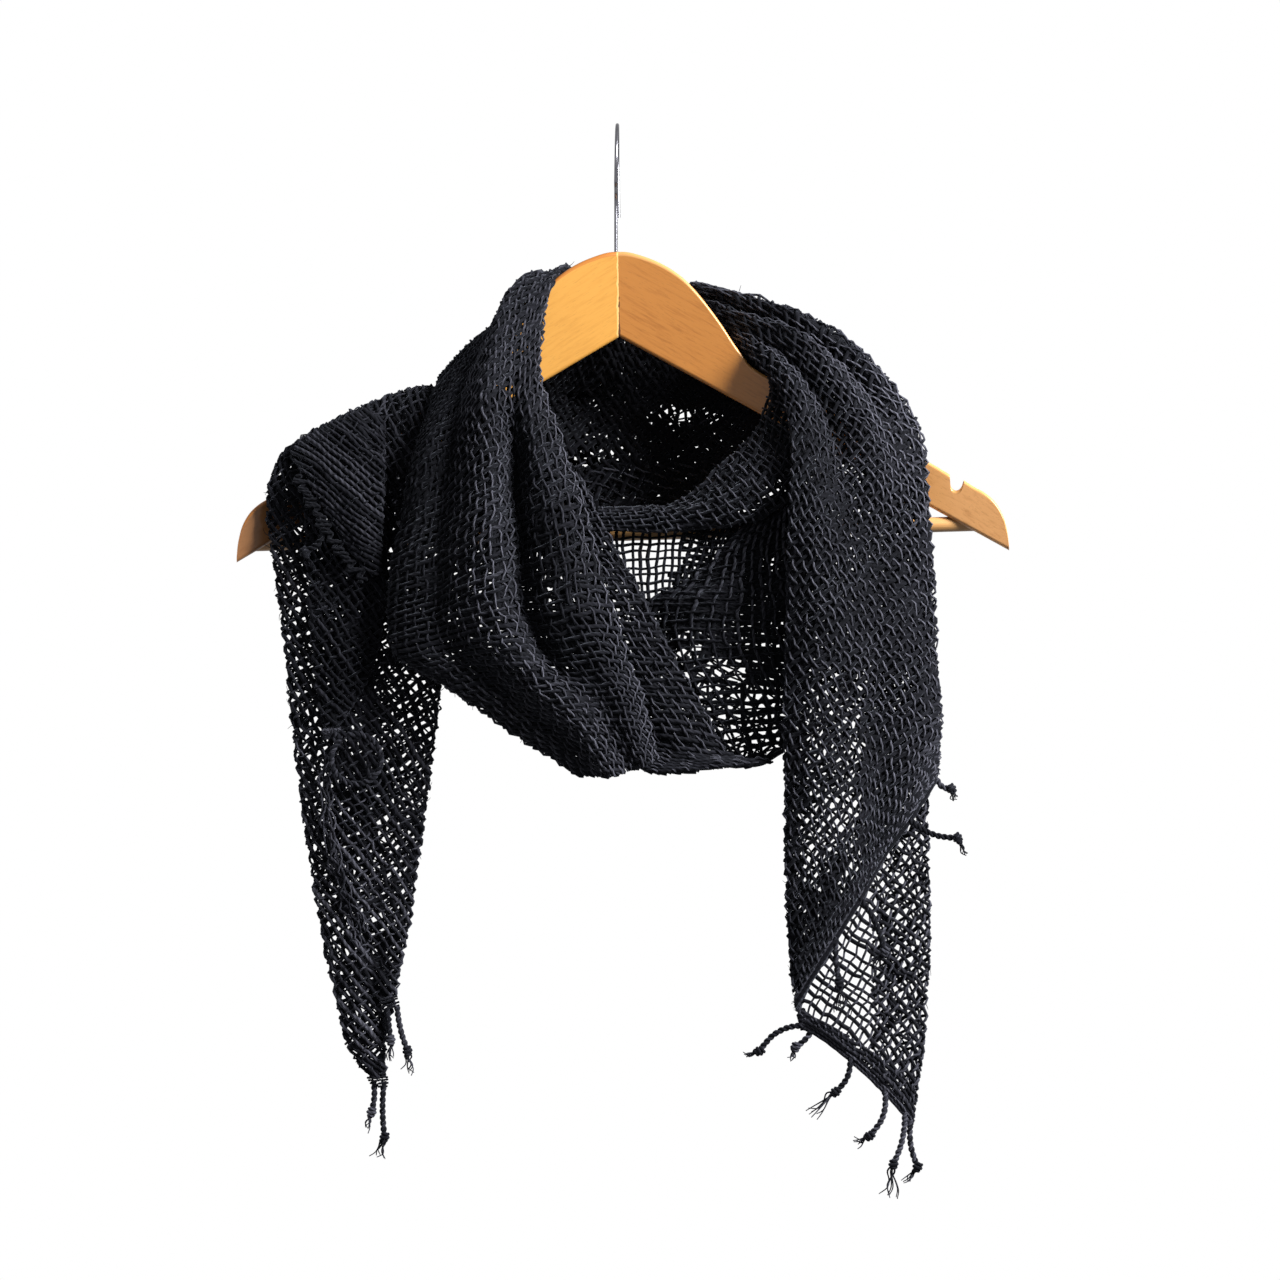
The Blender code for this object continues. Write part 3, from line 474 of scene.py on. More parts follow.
def clothPoints(stretch, across, along):
    sections = stretch["sections"]
    before, after = runsOn.get(stretch["node"], (None, None))
    lines = through(edgeLines(sections), along * (len(sections) - 1),
                    nextSection(before), nextSection(after))
    grid = arched(lines, across)
    raised = np.zeros(grid.shape[:2])
    for start, middle, end, begin, stop, height, width in stretch["folds"]:
        centre = start + along * (4 * middle - 3 * start - end)
        centre = centre + along**2 * (2 * start + 2 * end - 4 * middle)
        rise = np.ones_like(along)
        if begin > 0:
            rise = rise * np.clip((along - begin) / drawing["foldFade"], 0, 1)
        if stop < 1:
            rise = rise * np.clip((stop - along) / drawing["foldFade"], 0, 1)
        wave = np.exp(-(((across[None, :] - centre[:, None]) / width) ** 2))
        raised += height / 1000 * eased(rise)[:, None] * wave
    fade = np.minimum(1, 6 * np.minimum(across, 1 - across))
    grid = grid + facing(grid) * (raised * fade)[:, :, None]
    if stretch["node"] == meeting["node"]:
        edge = clothPoints(byNode[meeting["onto"]], np.array([0.0, 1.0]), across * meeting["upTo"])
        edge = edge[:, 1] + np.array([0, meeting["gap"], 0])
        end = arched(edgeLines(sections[-1:]), across)[0]
        pull = np.clip((along - 1 + meeting["share"]) / meeting["share"], 0, 1)
        grid = grid + eased(pull)[:, None, None] * (edge - end)[None]
    return grid


def clothMap(stretch, rows=150, columns=81):
    # The form of a stretch as a grid, and how far down the flat cloth each row starts and ends.
    grid = clothPoints(stretch, np.linspace(0, 1, columns), np.linspace(0, 1, rows))
    even = np.linspace(0, 1, columns)
    for row in grid:                        # even steps across, along the cloth itself
        steps = np.linalg.norm(np.diff(row, axis=0), axis=1)
        row[:] = readAlong(even, walkedAlong(row) / steps.sum(), row)
    widths = np.linalg.norm(np.diff(grid, axis=1), axis=2).sum(axis=1)
    lengths = walkedAlong(grid[:, columns // 2])
    if stretch.get("level"):
        down = -grid[:, [0, -1], 2]
    else:
        skew = np.tan(np.radians(np.linspace(*stretch.get("skew", (0, 0)), rows)))
        down = lengths[:, None] + (skew * widths)[:, None] * np.array([-0.5, 0.5])
    if stretch.get("gathered"):
        widths[:] = widths.mean()
    return {"points": grid, "normals": facing(grid), "widths": widths, "down": down,
            "length": lengths[-1], "width": float(widths.mean()), "rows": rows}


def folded(turns):
    layer = np.floor(turns)
    return np.where(layer % 2 == 0, turns - layer, 1 - turns + layer)


def widthAt(cloth, row):
    return np.interp(row, np.arange(cloth["rows"]), cloth["widths"])


def downAt(cloth, across, row):
    share = folded(across / widthAt(cloth, row))
    places = np.arange(cloth["rows"])
    left, right = (np.interp(row, places, cloth["down"][:, side]) for side in range(2))
    return left + (right - left) * share


def onForm(cloth, across, down):
    # Finds a flat point's row on the form. Past either end it gives a row off the form.
    low, high = np.zeros(across.shape), np.full(across.shape, cloth["rows"] - 1.0)
    past = np.where(down < downAt(cloth, across, low), -1.0, 0.0)
    past = np.where(down > downAt(cloth, across, high), 1.0, past)
    for _ in range(15):
        middle = (low + high) / 2
        above = downAt(cloth, across, middle) < down
        low, high = np.where(above, middle, low), np.where(above, high, middle)
    row = np.where(past == 0, (low + high) / 2, np.where(past < 0, -1.0, cloth["rows"]))
    return across / widthAt(cloth, row), row


def placeOn(cloth, turns, row, lift):
    # A point of the flat cloth, folded round the edges of its stretch.
    share = folded(turns)
    fold = np.round(turns)
    before = np.where(fold <= 0, np.abs(fold - 1), fold - 1)
    reach = yarn["foldReach"] * yarn["layerGap"]
    turned = eased(np.clip((turns - fold) * widthAt(cloth, row) / reach + 0.5, 0, 1))
    below = yarn["layerGap"] * (before * (1 - turned) + np.abs(fold) * turned)
    rows, columns = cloth["points"].shape[:2]
    row = np.clip(row, 0, rows - 1.001)
    column = np.clip(share * (columns - 1), 0, columns - 1.001)
    i, j = row.astype(int), column.astype(int)
    a, b = (row - i)[:, None], (column - j)[:, None]
    found = []
    for name in ("points", "normals"):
        field = cloth[name]
        found.append(field[i, j] * (1 - a) * (1 - b) + field[i + 1, j] * a * (1 - b)
                     + field[i, j + 1] * (1 - a) * b + field[i + 1, j + 1] * a * b)
    return found[0] + found[1] * (lift - below)[:, None]


def drift(across, along, rng, reach):
    # Slow waves of the yarns' places, the long ones larger than the short ones.
    moved = np.zeros((2,) + across.shape)
    for wave in yarn["driftWaves"]:
        size = (wave / yarn["driftWaves"][1]) ** 0.5
        for axis in range(2):
            turn, phase = rng.uniform(0, roundTurn, 2)
            way = (across * math.cos(turn) + along * math.sin(turn)) * roundTurn / wave
            moved[axis] += np.sin(way + phase) * reach * size / threeWaves
    return moved


def trimEnds(within, values, ends):
    # Moves each yarn's end out to the edge of its cloth.
    near, far = np.zeros(len(ends)), np.ones(len(ends))
    inner, outer = values[:, ends[:, 0]], values[:, ends[:, 1]]
    for _ in range(7):
        mid = (near + far) / 2
        here = inner + (outer - inner) * mid
        good = within(here[0], here[1])
        near, far = np.where(good, mid, near), np.where(good, far, mid)
    return inner + (outer - inner) * near


def raggedRoom(cloth, ply, across, down, turns, place, row, waves):
    # How far a point lies inside the edge of its ply, less the edge's own straying.
    low, high = ply["wraps"]
    stray = sum(np.sin((across * math.cos(turn) + down * math.sin(turn)) * roundTurn / wave + phase)
                for turn, phase, wave in waves) / threeWaves
    room = np.minimum(turns - low + never * (low <= 0.01), high - turns + never * (high >= 0.99))
    ends = np.minimum(place - ply["from"] + never * (ply["from"] <= 0.01),
                      ply["to"] - place + never * (ply["to"] >= 0.99))
    room = np.minimum(room * widthAt(cloth, row), ends * cloth["length"])
    return room - ply["ragged"] * (stray + 1)


def layPly(cloth, ply, rng):
    # Plain weave: warp and weft cross at shaken lattice points, over and under by turns.
    weft, warp = math.radians(ply["weft"]), math.radians(ply["warp"])
    slant = abs(math.sin(warp - weft))
    basis = np.array([
        [math.cos(warp) * ply["weftPitch"], math.cos(weft) * ply["warpPitch"]],
        [math.sin(warp) * ply["weftPitch"], math.sin(weft) * ply["warpPitch"]]]) / slant
    low, high = ply["wraps"]
    wide, ends = cloth["widths"].max(), (cloth["down"].min(), cloth["down"].max())
    reach = np.linalg.inv(basis) @ np.array([(w * wide, l) for w in (low, high) for l in ends]).T
    ks = np.arange(math.floor(reach[0].min()) - 3, math.ceil(reach[0].max()) + 4)
    ms = np.arange(math.floor(reach[1].min()) - 3, math.ceil(reach[1].max()) + 4)
    shape = (len(ks), len(ms))
    shake, calm = yarn["shake"] * ply["calm"], ply["calm"]
    rowShake = yarn["rowShake"] * calm
    k = ks[:, None] + rng.normal(0, rowShake, len(ks))[:, None] + rng.normal(0, shake, shape)
    m = ms[None, :] + rng.normal(0, rowShake, len(ms))[None, :] + rng.normal(0, shake, shape)
    spots = np.einsum("ab,bkm->akm", basis, np.stack([k, m]))
    spots = spots + drift(spots[0], spots[1], rng, yarn["wander"] * calm)
    waves = [(rng.uniform(0, roundTurn), rng.uniform(0, roundTurn), wave)
             for wave in yarn["raggedWaves"]]

    def within(across, down):
        turns, row = onForm(cloth, across, down)
        place = row / (cloth["rows"] - 1)
        inside = (turns >= low) & (turns <= high)
        inside &= (place >= ply["from"]) & (place <= ply["to"])
        for spot, far, halfWide, halfLong in ply["holes"]:
            inside &= ((turns - spot) / halfWide) ** 2 + ((place - far) / halfLong) ** 2 > 1
        if ply["ragged"]:
            inside &= raggedRoom(cloth, ply, across, down, turns, place, row, waves) > 0
        return inside

    inside = within(spots[0], spots[1])
    over = np.where((ks[:, None] + ms[None, :]) % 2 == 0, 1.0, -1.0)
    lines = []
    for turned, rise, girth, uneven, tones in (
            (False, ply["weftRise"], ply["weftGirth"], yarn["weftUneven"], ply["weftTone"]),
            (True, -ply["warpRise"], ply["warpGirth"], yarn["warpUneven"], ply["warpTone"])):
        across, down, mask, rises = spots[0], spots[1], inside, over * rise
        if turned:
            across, down, mask, rises = across.T, down.T, mask.T, rises.T
        rows, columns = mask.shape
        values = np.stack([across.ravel(), down.ravel(), rises.ravel()])
        edges = np.diff(np.pad(mask, ((0, 0), (1, 1))).astype(int), axis=1)
        starts, stops = np.argwhere(edges == 1), np.argwhere(edges == -1)
        runs = [(r, a, b) for (r, a), (_, b) in zip(starts, stops)
                if b - a >= 2 and a > 0 and b < columns]
        if not runs:
            continue
        ends = np.array([[(r * columns + a, r * columns + a - 1),
                          (r * columns + b - 1, r * columns + b)]
                         for r, a, b in runs]).reshape(-1, 2)
        trimmed = trimEnds(within, values, ends).reshape(3, -1, 2)
        thickness = 1 + uneven * rng.normal(0, 1, rows)
        for number, (r, a, b) in enumerate(runs):
            inner = values[:, r * columns + a:r * columns + b]
            line = np.hstack([trimmed[:, number, :1], inner, trimmed[:, number, 1:]])
            line[2, [0, -1]] = 0
            if ply["fine"]:
                full = np.empty((3, 2 * line.shape[1] - 1))
                full[:, ::2] = line
                full[:, 1::2] = (line[:, 1:] + line[:, :-1]) / 2
                turns = full[0] / cloth["width"]
                keep = (turns > -yarn["fineTo"]) & (turns < 1 + yarn["fineTo"])
                keep[::2] = True
                line = full[:, keep]
            every = yarn["unevenEvery"]
            knots = np.arange(0, line.shape[1] + every, every)
            soft = np.interp(np.arange(line.shape[1]), knots, rng.normal(0, 1, len(knots)))
            size = girth * np.clip(thickness[r] * (1 + uneven * soft), *yarn["girthRange"])
            lines.append((line, size, rng.uniform(*tones)))
    across, down, lift = np.hstack([line for line, _, _ in lines])
    wave = drift(across, down, rng, yarn["sway"])[0]
    turns, row = onForm(cloth, across, down)
    points = placeOn(cloth, turns, row, lift + wave - ply["deep"])
    counts = [line.shape[1] for line, _, _ in lines]
    tones = np.repeat([tone for _, _, tone in lines], counts)
    place = row / (cloth["rows"] - 1)
    # Painted shade and painted light: each spot darkens or pales the yarn tones round it.
    for spot, far, halfWide, halfLong, change in ply["shaded"]:
        apart = ((turns - spot) / halfWide) ** 2 + ((place - far) / halfLong) ** 2
        tones = tones * (1 + change * np.exp(-apart))
    return points, np.concatenate([size for _, size, _ in lines]), tones, counts


def looseLines(cloth, count, rng):
    # Small loops and hairs that stand out of the left and right edges of the cloth.
    lines = []
    for number in range(count):
        row = np.array([rng.uniform(*loose["rows"]) * (cloth["rows"] - 1)])
        near, end = ((0.97,), (1.0,)) if number % 2 else ((0.03,), (0.0,))
        inner = placeOn(cloth, np.array(near), row, np.zeros(1))[0]
        edge = placeOn(cloth, np.array(end), row, np.zeros(1))[0]
        out = unit(edge - inner)
        along = unit(np.array((rng.normal(0, 0.3), rng.normal(0, 0.3), -1.0)))
        turn = np.linspace(0, 1, loose["points"])
        if number % 3:
            reach = rng.uniform(*loose["hairLong"])
            line = (edge - loose["hairRoot"] * out + out * (reach * turn ** 0.8)[:, None]
                    + along * (reach * rng.normal(0, loose["bend"]) * turn ** 2)[:, None])
            size = yarn["hairGirth"] * (1.2 - loose["taper"] * turn)
        else:
            reach, wide = rng.uniform(*loose["loopOut"]), rng.uniform(*loose["loopWide"])
            line = (edge - loose["loopRoot"] * out + out * (reach * np.sin(math.pi * turn))[:, None]
                    + along * (wide * (turn - 0.5))[:, None])
            size = np.full(loose["points"], yarn["warpGirth"])
        lines.append((line, size))
    return lines


def netPlies(stretch):
    front = {name: stretch.get(name, yarn.get(name)) for name in (
        "weft", "warp", "weftPitch", "warpPitch", "weftGirth", "warpGirth", "weftRise",
        "warpRise", "weftTone", "warpTone", "wraps")}
    # A stretch's own range of tone; a lower range is painted shade on stretches that lie in shadow.
    low, high = stretch.get("tone", (0, 1))
    for name in ("weftTone", "warpTone"):
        front[name] = tuple(low + (high - low) * value for value in front[name])
    front.update({"from": 0.0, "to": 1.0, "deep": 0.0, "fine": True, "ragged": 0.0, "holes": [],
                  "beaten": False, "shaded": stretch.get("shaded", []),
                  "calm": stretch.get("calm", 1.0)})
    plies = [front]
    for left, right, start, stop, pitch in stretch.get("hidden", []):
        kind = int(pitch > yarn["densePitch"])
        hidden = {**front, "wraps": (left, right), "from": start, "to": stop, "fine": False,
                  "deep": yarn["hiddenDeep"][kind], "holes": stretch.get("holes", []),
                  "ragged": stretch.get("ragged", yarn["ragged"])}
        # The hidden layers take the dark tones: painted shade behind the front cloth.
        for name, turn in zip(("weft", "warp"), yarn["hiddenTurn"]):
            hidden.update({name: stretch[name] + turn, name + "Pitch": pitch,
                           name + "Girth": yarn["hiddenGirth"][kind],
                           name + "Tone": yarn["hiddenShadeTone"], name + "Rise": yarn["hiddenRise"]})
        plies.append(hidden)
    for left, right, start, stop in stretch.get("ends", []):
        plies.append({**front, **beaten, "wraps": (left, right), "from": start, "to": stop,
                      "beaten": True})
    return plies


def placed(name, data):
    obj = bpy.data.objects.new(name, data)
    bpy.context.scene.collection.objects.link(obj)
    return obj


def store(mesh, label, values):
    layer = mesh.attributes.new(label, "FLOAT", "POINT")
    layer.data.foreach_set("value", np.asarray(values, np.float32))


def pathMesh(name, points, girths, tones, counts):
    # Open lines of points, one after the other.
    mesh = bpy.data.meshes.new(name)
    keep = np.ones(len(points), bool)
    keep[np.cumsum([0] + list(counts))[:-1]] = False
    second = np.flatnonzero(keep)
    edges = np.stack([second - 1, second], axis=1)
    mesh.vertices.add(len(points))
    mesh.vertices.foreach_set("co", points.astype(np.float32).ravel())
    mesh.edges.add(len(edges))
    mesh.edges.foreach_set("vertices", edges.astype(np.int32).ravel())
    store(mesh, "girth", girths)
    store(mesh, "tone", tones)
    mesh.update()
    return placed(name, mesh)


def give(tree, socket, value):
    # Links a socket to an output, or sets it to a value.
    if isinstance(value, bpy.types.NodeSocket):
        tree.links.new(value, socket)
    elif socket.type == "RGBA":
        socket.default_value = (*value, 1)
    else:
        socket.default_value = value


def addNode(tree, kind, inputs, **settings):
    node = tree.nodes.new(kind)
    for name, value in settings.items():
        setattr(node, name, value)
    for name, value in inputs.items():
        give(tree, node.inputs[name], value)
    return node


def spinTree():
    # Spins a tube round every line of the mesh, as thick as its girth says.
    tree = bpy.data.node_groups.new("spinYarn", "GeometryNodeTree")
    for label, way, kind in (("Lines", "INPUT", "Geometry"), ("Sides", "INPUT", "Int"),
                             ("Finish", "INPUT", "Material"), ("Yarn", "OUTPUT", "Geometry")):
        tree.interface.new_socket(label, in_out=way, socket_type="NodeSocket" + kind)

    def kept(name, kind, geometry, value):
        return addNode(tree, "GeometryNodeStoreNamedAttribute",
                       {"Name": name, "Geometry": geometry, "Value": value},
                       data_type=kind, domain="POINT").outputs["Geometry"]

    start = addNode(tree, "NodeGroupInput", {}).outputs
    curve = addNode(tree, "GeometryNodeMeshToCurve", {"Mesh": start["Lines"]})
    place = addNode(tree, "GeometryNodeSplineParameter", {})
    ring = addNode(tree, "GeometryNodeCurvePrimitiveCircle",
                   {"Resolution": start["Sides"], "Radius": 1}, mode="RADIUS")
    spot = addNode(tree, "GeometryNodeInputPosition", {})
    girth = addNode(tree, "GeometryNodeInputNamedAttribute", {"Name": "girth"}, data_type="FLOAT")
    tube = addNode(tree, "GeometryNodeCurveToMesh", {
        "Curve": kept("along", "FLOAT", curve.outputs["Curve"], place.outputs["Length"]),
        "Profile Curve": kept("around", "FLOAT_VECTOR", ring.outputs["Curve"],
                              spot.outputs["Position"]),
        "Scale": girth.outputs["Attribute"], "Fill Caps": True})
    smooth = addNode(tree, "GeometryNodeSetShadeSmooth", {"Geometry": tube.outputs["Mesh"]})
    real = addNode(tree, "GeometryNodeRealizeInstances", {"Geometry": smooth.outputs["Geometry"]})
    finish = addNode(tree, "GeometryNodeSetMaterial",
                     {"Geometry": real.outputs["Geometry"], "Material": start["Finish"]})
    addNode(tree, "NodeGroupOutput", {"Yarn": finish.outputs["Geometry"]})
    return tree


def socketOf(tree, name):
    return next(item.identifier for item in tree.interface.items_tree
                if item.item_type == "SOCKET" and item.in_out == "INPUT" and item.name == name)


def spin(lines, sides, finish):
    step = lines.modifiers.new("spin", "NODES")
    step.node_group = spinner
    step[socketOf(spinner, "Sides")] = sides
    step[socketOf(spinner, "Finish")] = finish
    view = bpy.context.evaluated_depsgraph_get()
    mesh = bpy.data.meshes.new_from_object(lines.evaluated_get(view), depsgraph=view)
    lines.modifiers.clear()
    lines.data = mesh
    mesh.name = lines.name
    if signedVolume(mesh) < 0:
        mesh.flip_normals()
    return lines


def signedVolume(mesh):
    mesh.calc_loop_triangles()
    spots = np.empty(len(mesh.vertices) * 3, np.float32)
    mesh.vertices.foreach_get("co", spots)
    corners = np.empty(len(mesh.loop_triangles) * 3, np.int32)
    mesh.loop_triangles.foreach_get("vertices", corners)
    a, b, c = spots.reshape(-1, 3)[corners.reshape(-1, 3)].astype(float).transpose(1, 0, 2)
    return float(np.einsum("ij,ij->i", a, np.cross(b, c)).sum() / 6)


spinner = spinTree()


def newMaterial(name, values):
    made = bpy.data.materials.new(name)
    made.use_nodes = True
    shader = made.node_tree.nodes["Principled BSDF"]
    for label, value in values.items():
        give(made.node_tree, shader.inputs[label], value)
    return made, made.node_tree, shader.inputs


def math2(tree, operation, *values):
    return addNode(tree, "ShaderNodeMath", dict(enumerate(values)), operation=operation).outputs[0]


def ramp(tree, factor, stops):
    node = addNode(tree, "ShaderNodeValToRGB", {"Fac": factor})
    while len(node.color_ramp.elements) < len(stops):
        node.color_ramp.elements.new(0.5)
    for element, (place, colour) in zip(node.color_ramp.elements, stops):
        element.position = place
        element.color = (*colour, 1)
    return node.outputs["Color"]


def noiseAt(tree, where, scale, detail=3.0, rough=0.5):
    return addNode(tree, "ShaderNodeTexNoise", {
        "Vector": where, "Scale": scale, "Detail": detail, "Roughness": rough}).outputs["Fac"]


def mixColours(tree, factor, first, second, mode="MIX"):
    return addNode(tree, "ShaderNodeMix", {"Factor": factor, 6: first, 7: second},
                   data_type="RGBA", blend_type=mode).outputs[2]


def bumpFrom(tree, height, strength, distance):
    return addNode(tree, "ShaderNodeBump", {
        "Height": height, "Strength": strength, "Distance": distance}).outputs["Normal"]


def ownPlace(tree):
    return addNode(tree, "ShaderNodeTexCoord", {}).outputs["Object"]


def storedOn(tree, name):
    # A value that the mesh carries.
    return addNode(tree, "ShaderNodeAttribute", {}, attribute_name=name).outputs


def newGroup(name, values, results):
    # A value of None makes a vector input.
    tree = bpy.data.node_groups.new(name, "ShaderNodeTree")
    for label, value in values.items():
        kind = "NodeSocketVector" if value is None else "NodeSocketFloat"
        socket = tree.interface.new_socket(label, in_out="INPUT", socket_type=kind)
        if value is not None:
            socket.default_value = value
    for label in results:
        tree.interface.new_socket(label, in_out="OUTPUT", socket_type="NodeSocketFloat")
    return tree, addNode(tree, "NodeGroupInput", {}).outputs


yarnLook = {
    "deep": (0.0015, 0.0016, 0.0028),
    "body": (0.0112, 0.0114, 0.0164),
    "light": (0.1280, 0.1290, 0.1620),
    "stops": (0.12, 0.55, 1.0),            # tones at which these three stand
    # lit: share of the full tone between plies and on top of them; the rest is painted shade in the
    # grooves between plies.
    "lit": (0.25, 0.5),                    # between plies, and more on top of them
    "bump": 0.0003,
    "fuzz": 2600.0,
    "fuzzHigh": 0.6,
    "drift": 90,
    "driftShare": 0.3,
    "toneShare": 0.78,
    "shader": {"Roughness": 0.88, "Specular IOR Level": 0.10, "Sheen Weight": 0.12,
               "Sheen Roughness": 0.45, "Sheen Tint": (0.55, 0.60, 0.72)},
}


def twistGroup():
    # Fibres laid round a twisted yarn: a mask of its plies, a height for bump and its tone.
    tree, start = newGroup("yarnTwist", {"Twist": 0.004, "Plies": 2.0, "Fuzz": yarnLook["fuzz"]},
                           ("Ply", "Height", "Tone"))
    parts = addNode(tree, "ShaderNodeSeparateXYZ", {0: storedOn(tree, "around")["Vector"]}).outputs
    angle = math2(tree, "ARCTAN2", parts["Y"], parts["X"])
    turns = math2(tree, "MULTIPLY", angle, start["Plies"])
    run = math2(tree, "DIVIDE", storedOn(tree, "along")["Fac"], start["Twist"])
    run = math2(tree, "MULTIPLY", run, 6.2832)
    ply = math2(tree, "SINE", math2(tree, "SUBTRACT", turns, run))
    ply = math2(tree, "MULTIPLY_ADD", ply, 0.5, 0.5)
    spot = ownPlace(tree)
    fuzz = noiseAt(tree, spot, start["Fuzz"], 4.0)
    shade = math2(tree, "MULTIPLY", storedOn(tree, "tone")["Fac"], yarnLook["toneShare"])
    drifted = noiseAt(tree, spot, yarnLook["drift"], 2.0)
    addNode(tree, "NodeGroupOutput", {
        "Ply": ply, "Height": math2(tree, "MULTIPLY_ADD", fuzz, yarnLook["fuzzHigh"], ply),
        "Tone": math2(tree, "MULTIPLY_ADD", drifted, yarnLook["driftShare"], shade)})
    return tree


def makeYarnMaterial(name, twist, plies, bump):
    made, tree, shader = newMaterial(name, yarnLook["shader"])
    yarns = addNode(tree, "ShaderNodeGroup", {"Twist": twist, "Plies": plies},
                    node_tree=twister).outputs
    stops = zip(yarnLook["stops"], (yarnLook["deep"], yarnLook["body"], yarnLook["light"]))
    base = ramp(tree, yarns["Tone"], list(stops))
    # Painted shade: the grooves between plies are mixed towards the deepest tone.
    least, more = yarnLook["lit"]
    lit = math2(tree, "MULTIPLY_ADD", yarns["Ply"], more, least)
    give(tree, shader["Base Color"], mixColours(tree, lit, yarnLook["deep"], base))
    give(tree, shader["Normal"], bumpFrom(tree, yarns["Height"], bump, yarnLook["bump"]))
    return made


twister = twistGroup()
wovenCotton = makeYarnMaterial("wovenCotton", 0.0045, 2.0, 0.8)
cordCotton = makeYarnMaterial("cordCotton", 0.0030, 2.0, 0.7)
print("cotton ready")


def joined(lines):
    # The points and the girths of all lines.
    points, girths = zip(*lines)
    return np.vstack(points), np.concatenate(girths)


# Nets of real yarns on the form of each stretch of cloth.
made = {}
for number, stretch in enumerate(stretches):
    cloth = clothMap(stretch)
    straight = clothMap({**stretch, "level": False, "skew": (0, 0)})
    rng = np.random.default_rng(yarn["seed"] + number)
    plies = netPlies(stretch)
    laid = [layPly(straight if ply["beaten"] else cloth, ply, rng) for ply in plies]
    hairs = looseLines(cloth, int(cloth["length"] / yarn["looseEvery"]), rng)
    laid.append((*joined(hairs), np.full(loose["points"] * len(hairs), loose["tone"]),
                 [loose["points"]] * len(hairs)))
    name = stretch["node"] + "_net"
    points, girths, tones, counts = zip(*laid)
    lines = pathMesh(name, np.vstack(points), np.concatenate(girths), np.concatenate(tones),
                     sum(counts, []))
    net = spin(lines, yarn["sides"], wovenCotton)
    made[stretch["node"]] = net
    spread = sum((ply["wraps"][1] - ply["wraps"][0]) * (ply["to"] - ply["from"]) for ply in plies)
    stretch["flat"] = (cloth["width"] * spread, cloth["length"])
    print(name, len(net.data.polygons), "faces", "%.3f x %.3f m" % stretch["flat"])


def strand(path, steps=8):
    # A smooth line through a few points.
    path = np.asarray(path, float)
    place = np.linspace(0, len(path) - 1, steps * (len(path) - 1) + 1)
    return through(path, place)


def ringsAlong(path):
    heading = unit(np.gradient(path, axis=0))
    side = Vector(heading[0]).orthogonal().normalized()
    sides = []
    for way in heading:
        way = Vector(way)
        side = (side - way * side.dot(way)).normalized()
        sides.append(np.array(side))
    sides = np.array(sides)
    return sides, np.cross(heading, sides)


tassel = {
    "plyGirth": 0.00098,
    "plyApart": 0.00090,
    "twist": 0.0066,
    "fine": 0.0007,            # length of one step of a twisted yarn
    "knotGirth": 0.00100,
    "knotApart": 0.00205,
    "knotTurns": 2.4,
    "knotLong": 0.0046,
    "knotSteps": 34,
    "heart": 1.5,              # thickness of the core in the knot, in knot yarns
    "frays": 7,
    "frayGirth": 0.00058,
    "frayReach": (0.65, 1.05),
    "fraySpread": 0.17,
    "frayCurl": 0.0011,
    "frayOpen": 1.3,           # above 1 the yarns part later
    "fraySway": (7, 5),
    "frayThin": 0.45,          # share of the girth left at the tips
    "sides": 6,
}


def plied(path, plies, apart, girth, twist, phase=0.0):
    path = np.asarray(path, float)
    walked = walkedAlong(path)
    fine = np.linspace(0, walked[-1], max(8, int(walked[-1] / tassel["fine"])))
    path = readAlong(fine, walked, path)
    side, other = ringsAlong(path)
    lines = []
    for ply in range(plies):
        turn = phase + fine / twist * 2 * math.pi + ply * 2 * math.pi / plies
        line = path + apart * (np.cos(turn)[:, None] * side + np.sin(turn)[:, None] * other)
        lines.append((line, np.full(len(line), girth)))
    return lines


def knotLines(knot, way, across, deep):
    # One yarn wound round the end of the cord, and the cord's thick core inside it.
    steps = tassel["knotSteps"]
    turn = np.linspace(0, tassel["knotTurns"] * 2 * math.pi, steps)
    swell = tassel["knotApart"] * (0.65 + 0.35 * np.sin(np.linspace(0, math.pi, steps)))
    wound = knot + way * (np.linspace(-0.5, 0.5, steps) * tassel["knotLong"])[:, None]
    wound = wound + across * (np.cos(turn) * swell)[:, None] + deep * (np.sin(turn) * swell)[:, None]
    heart = knot + way * (np.linspace(-0.6, 0.6, 6) * tassel["knotLong"])[:, None]
    return [(wound, np.full(steps, tassel["knotGirth"])),
            (heart, np.full(6, tassel["knotGirth"] * tassel["heart"]))]


def frayLine(knot, way, across, deep, long, rng):
    reach = long * rng.uniform(*tassel["frayReach"])
    spread = rng.normal(0, tassel["fraySpread"], 2) * reach
    curl = rng.normal(0, tassel["frayCurl"], 2)
    marks = []
    for share in (0, 0.25, 0.5, 0.75, 1.0):
        opened = share ** tassel["frayOpen"]
        sway = [math.sin(share * turn) for turn in tassel["fraySway"]]
        marks.append(knot + way * reach * share + across * (spread[0] * opened)
                     + deep * (spread[1] * opened) + across * curl[0] * sway[0]
                     + deep * curl[1] * sway[1])
    line = strand(marks, steps=5)
    return line, np.linspace(1, tassel["frayThin"], len(line)) * tassel["frayGirth"]


def tasselLines(root, knot, tip, bow, rng):
    # A two-ply cord from its root to its knot, and the frayed yarns below the knot.
    root = np.asarray(root, float)
    knot = built(np.array(knot[0]), np.array(knot[1]), root[1])
    tip = built(np.array(tip[0]), np.array(tip[1]), root[1])
    belly = unit(np.cross(knot - root, (0, 1, 0))) * bow / 1000
    marks = [root + (knot - root) * share + belly * math.sin(math.pi * share)
             for share in (0, 0.3, 0.6, 0.86, 1.0)]
    lines = plied(strand(marks), 2, tassel["plyApart"], tassel["plyGirth"], tassel["twist"],
                  rng.uniform(0, 6))
    way = unit(tip - knot)
    across = unit(np.cross(way, (0, 1, 0)))
    deep = np.cross(way, across)
    long = np.linalg.norm(tip - knot)
    lines += knotLines(knot, way, across, deep)
    lines += [frayLine(knot, way, across, deep, long, rng) for _ in range(tassel["frays"])]
    return lines


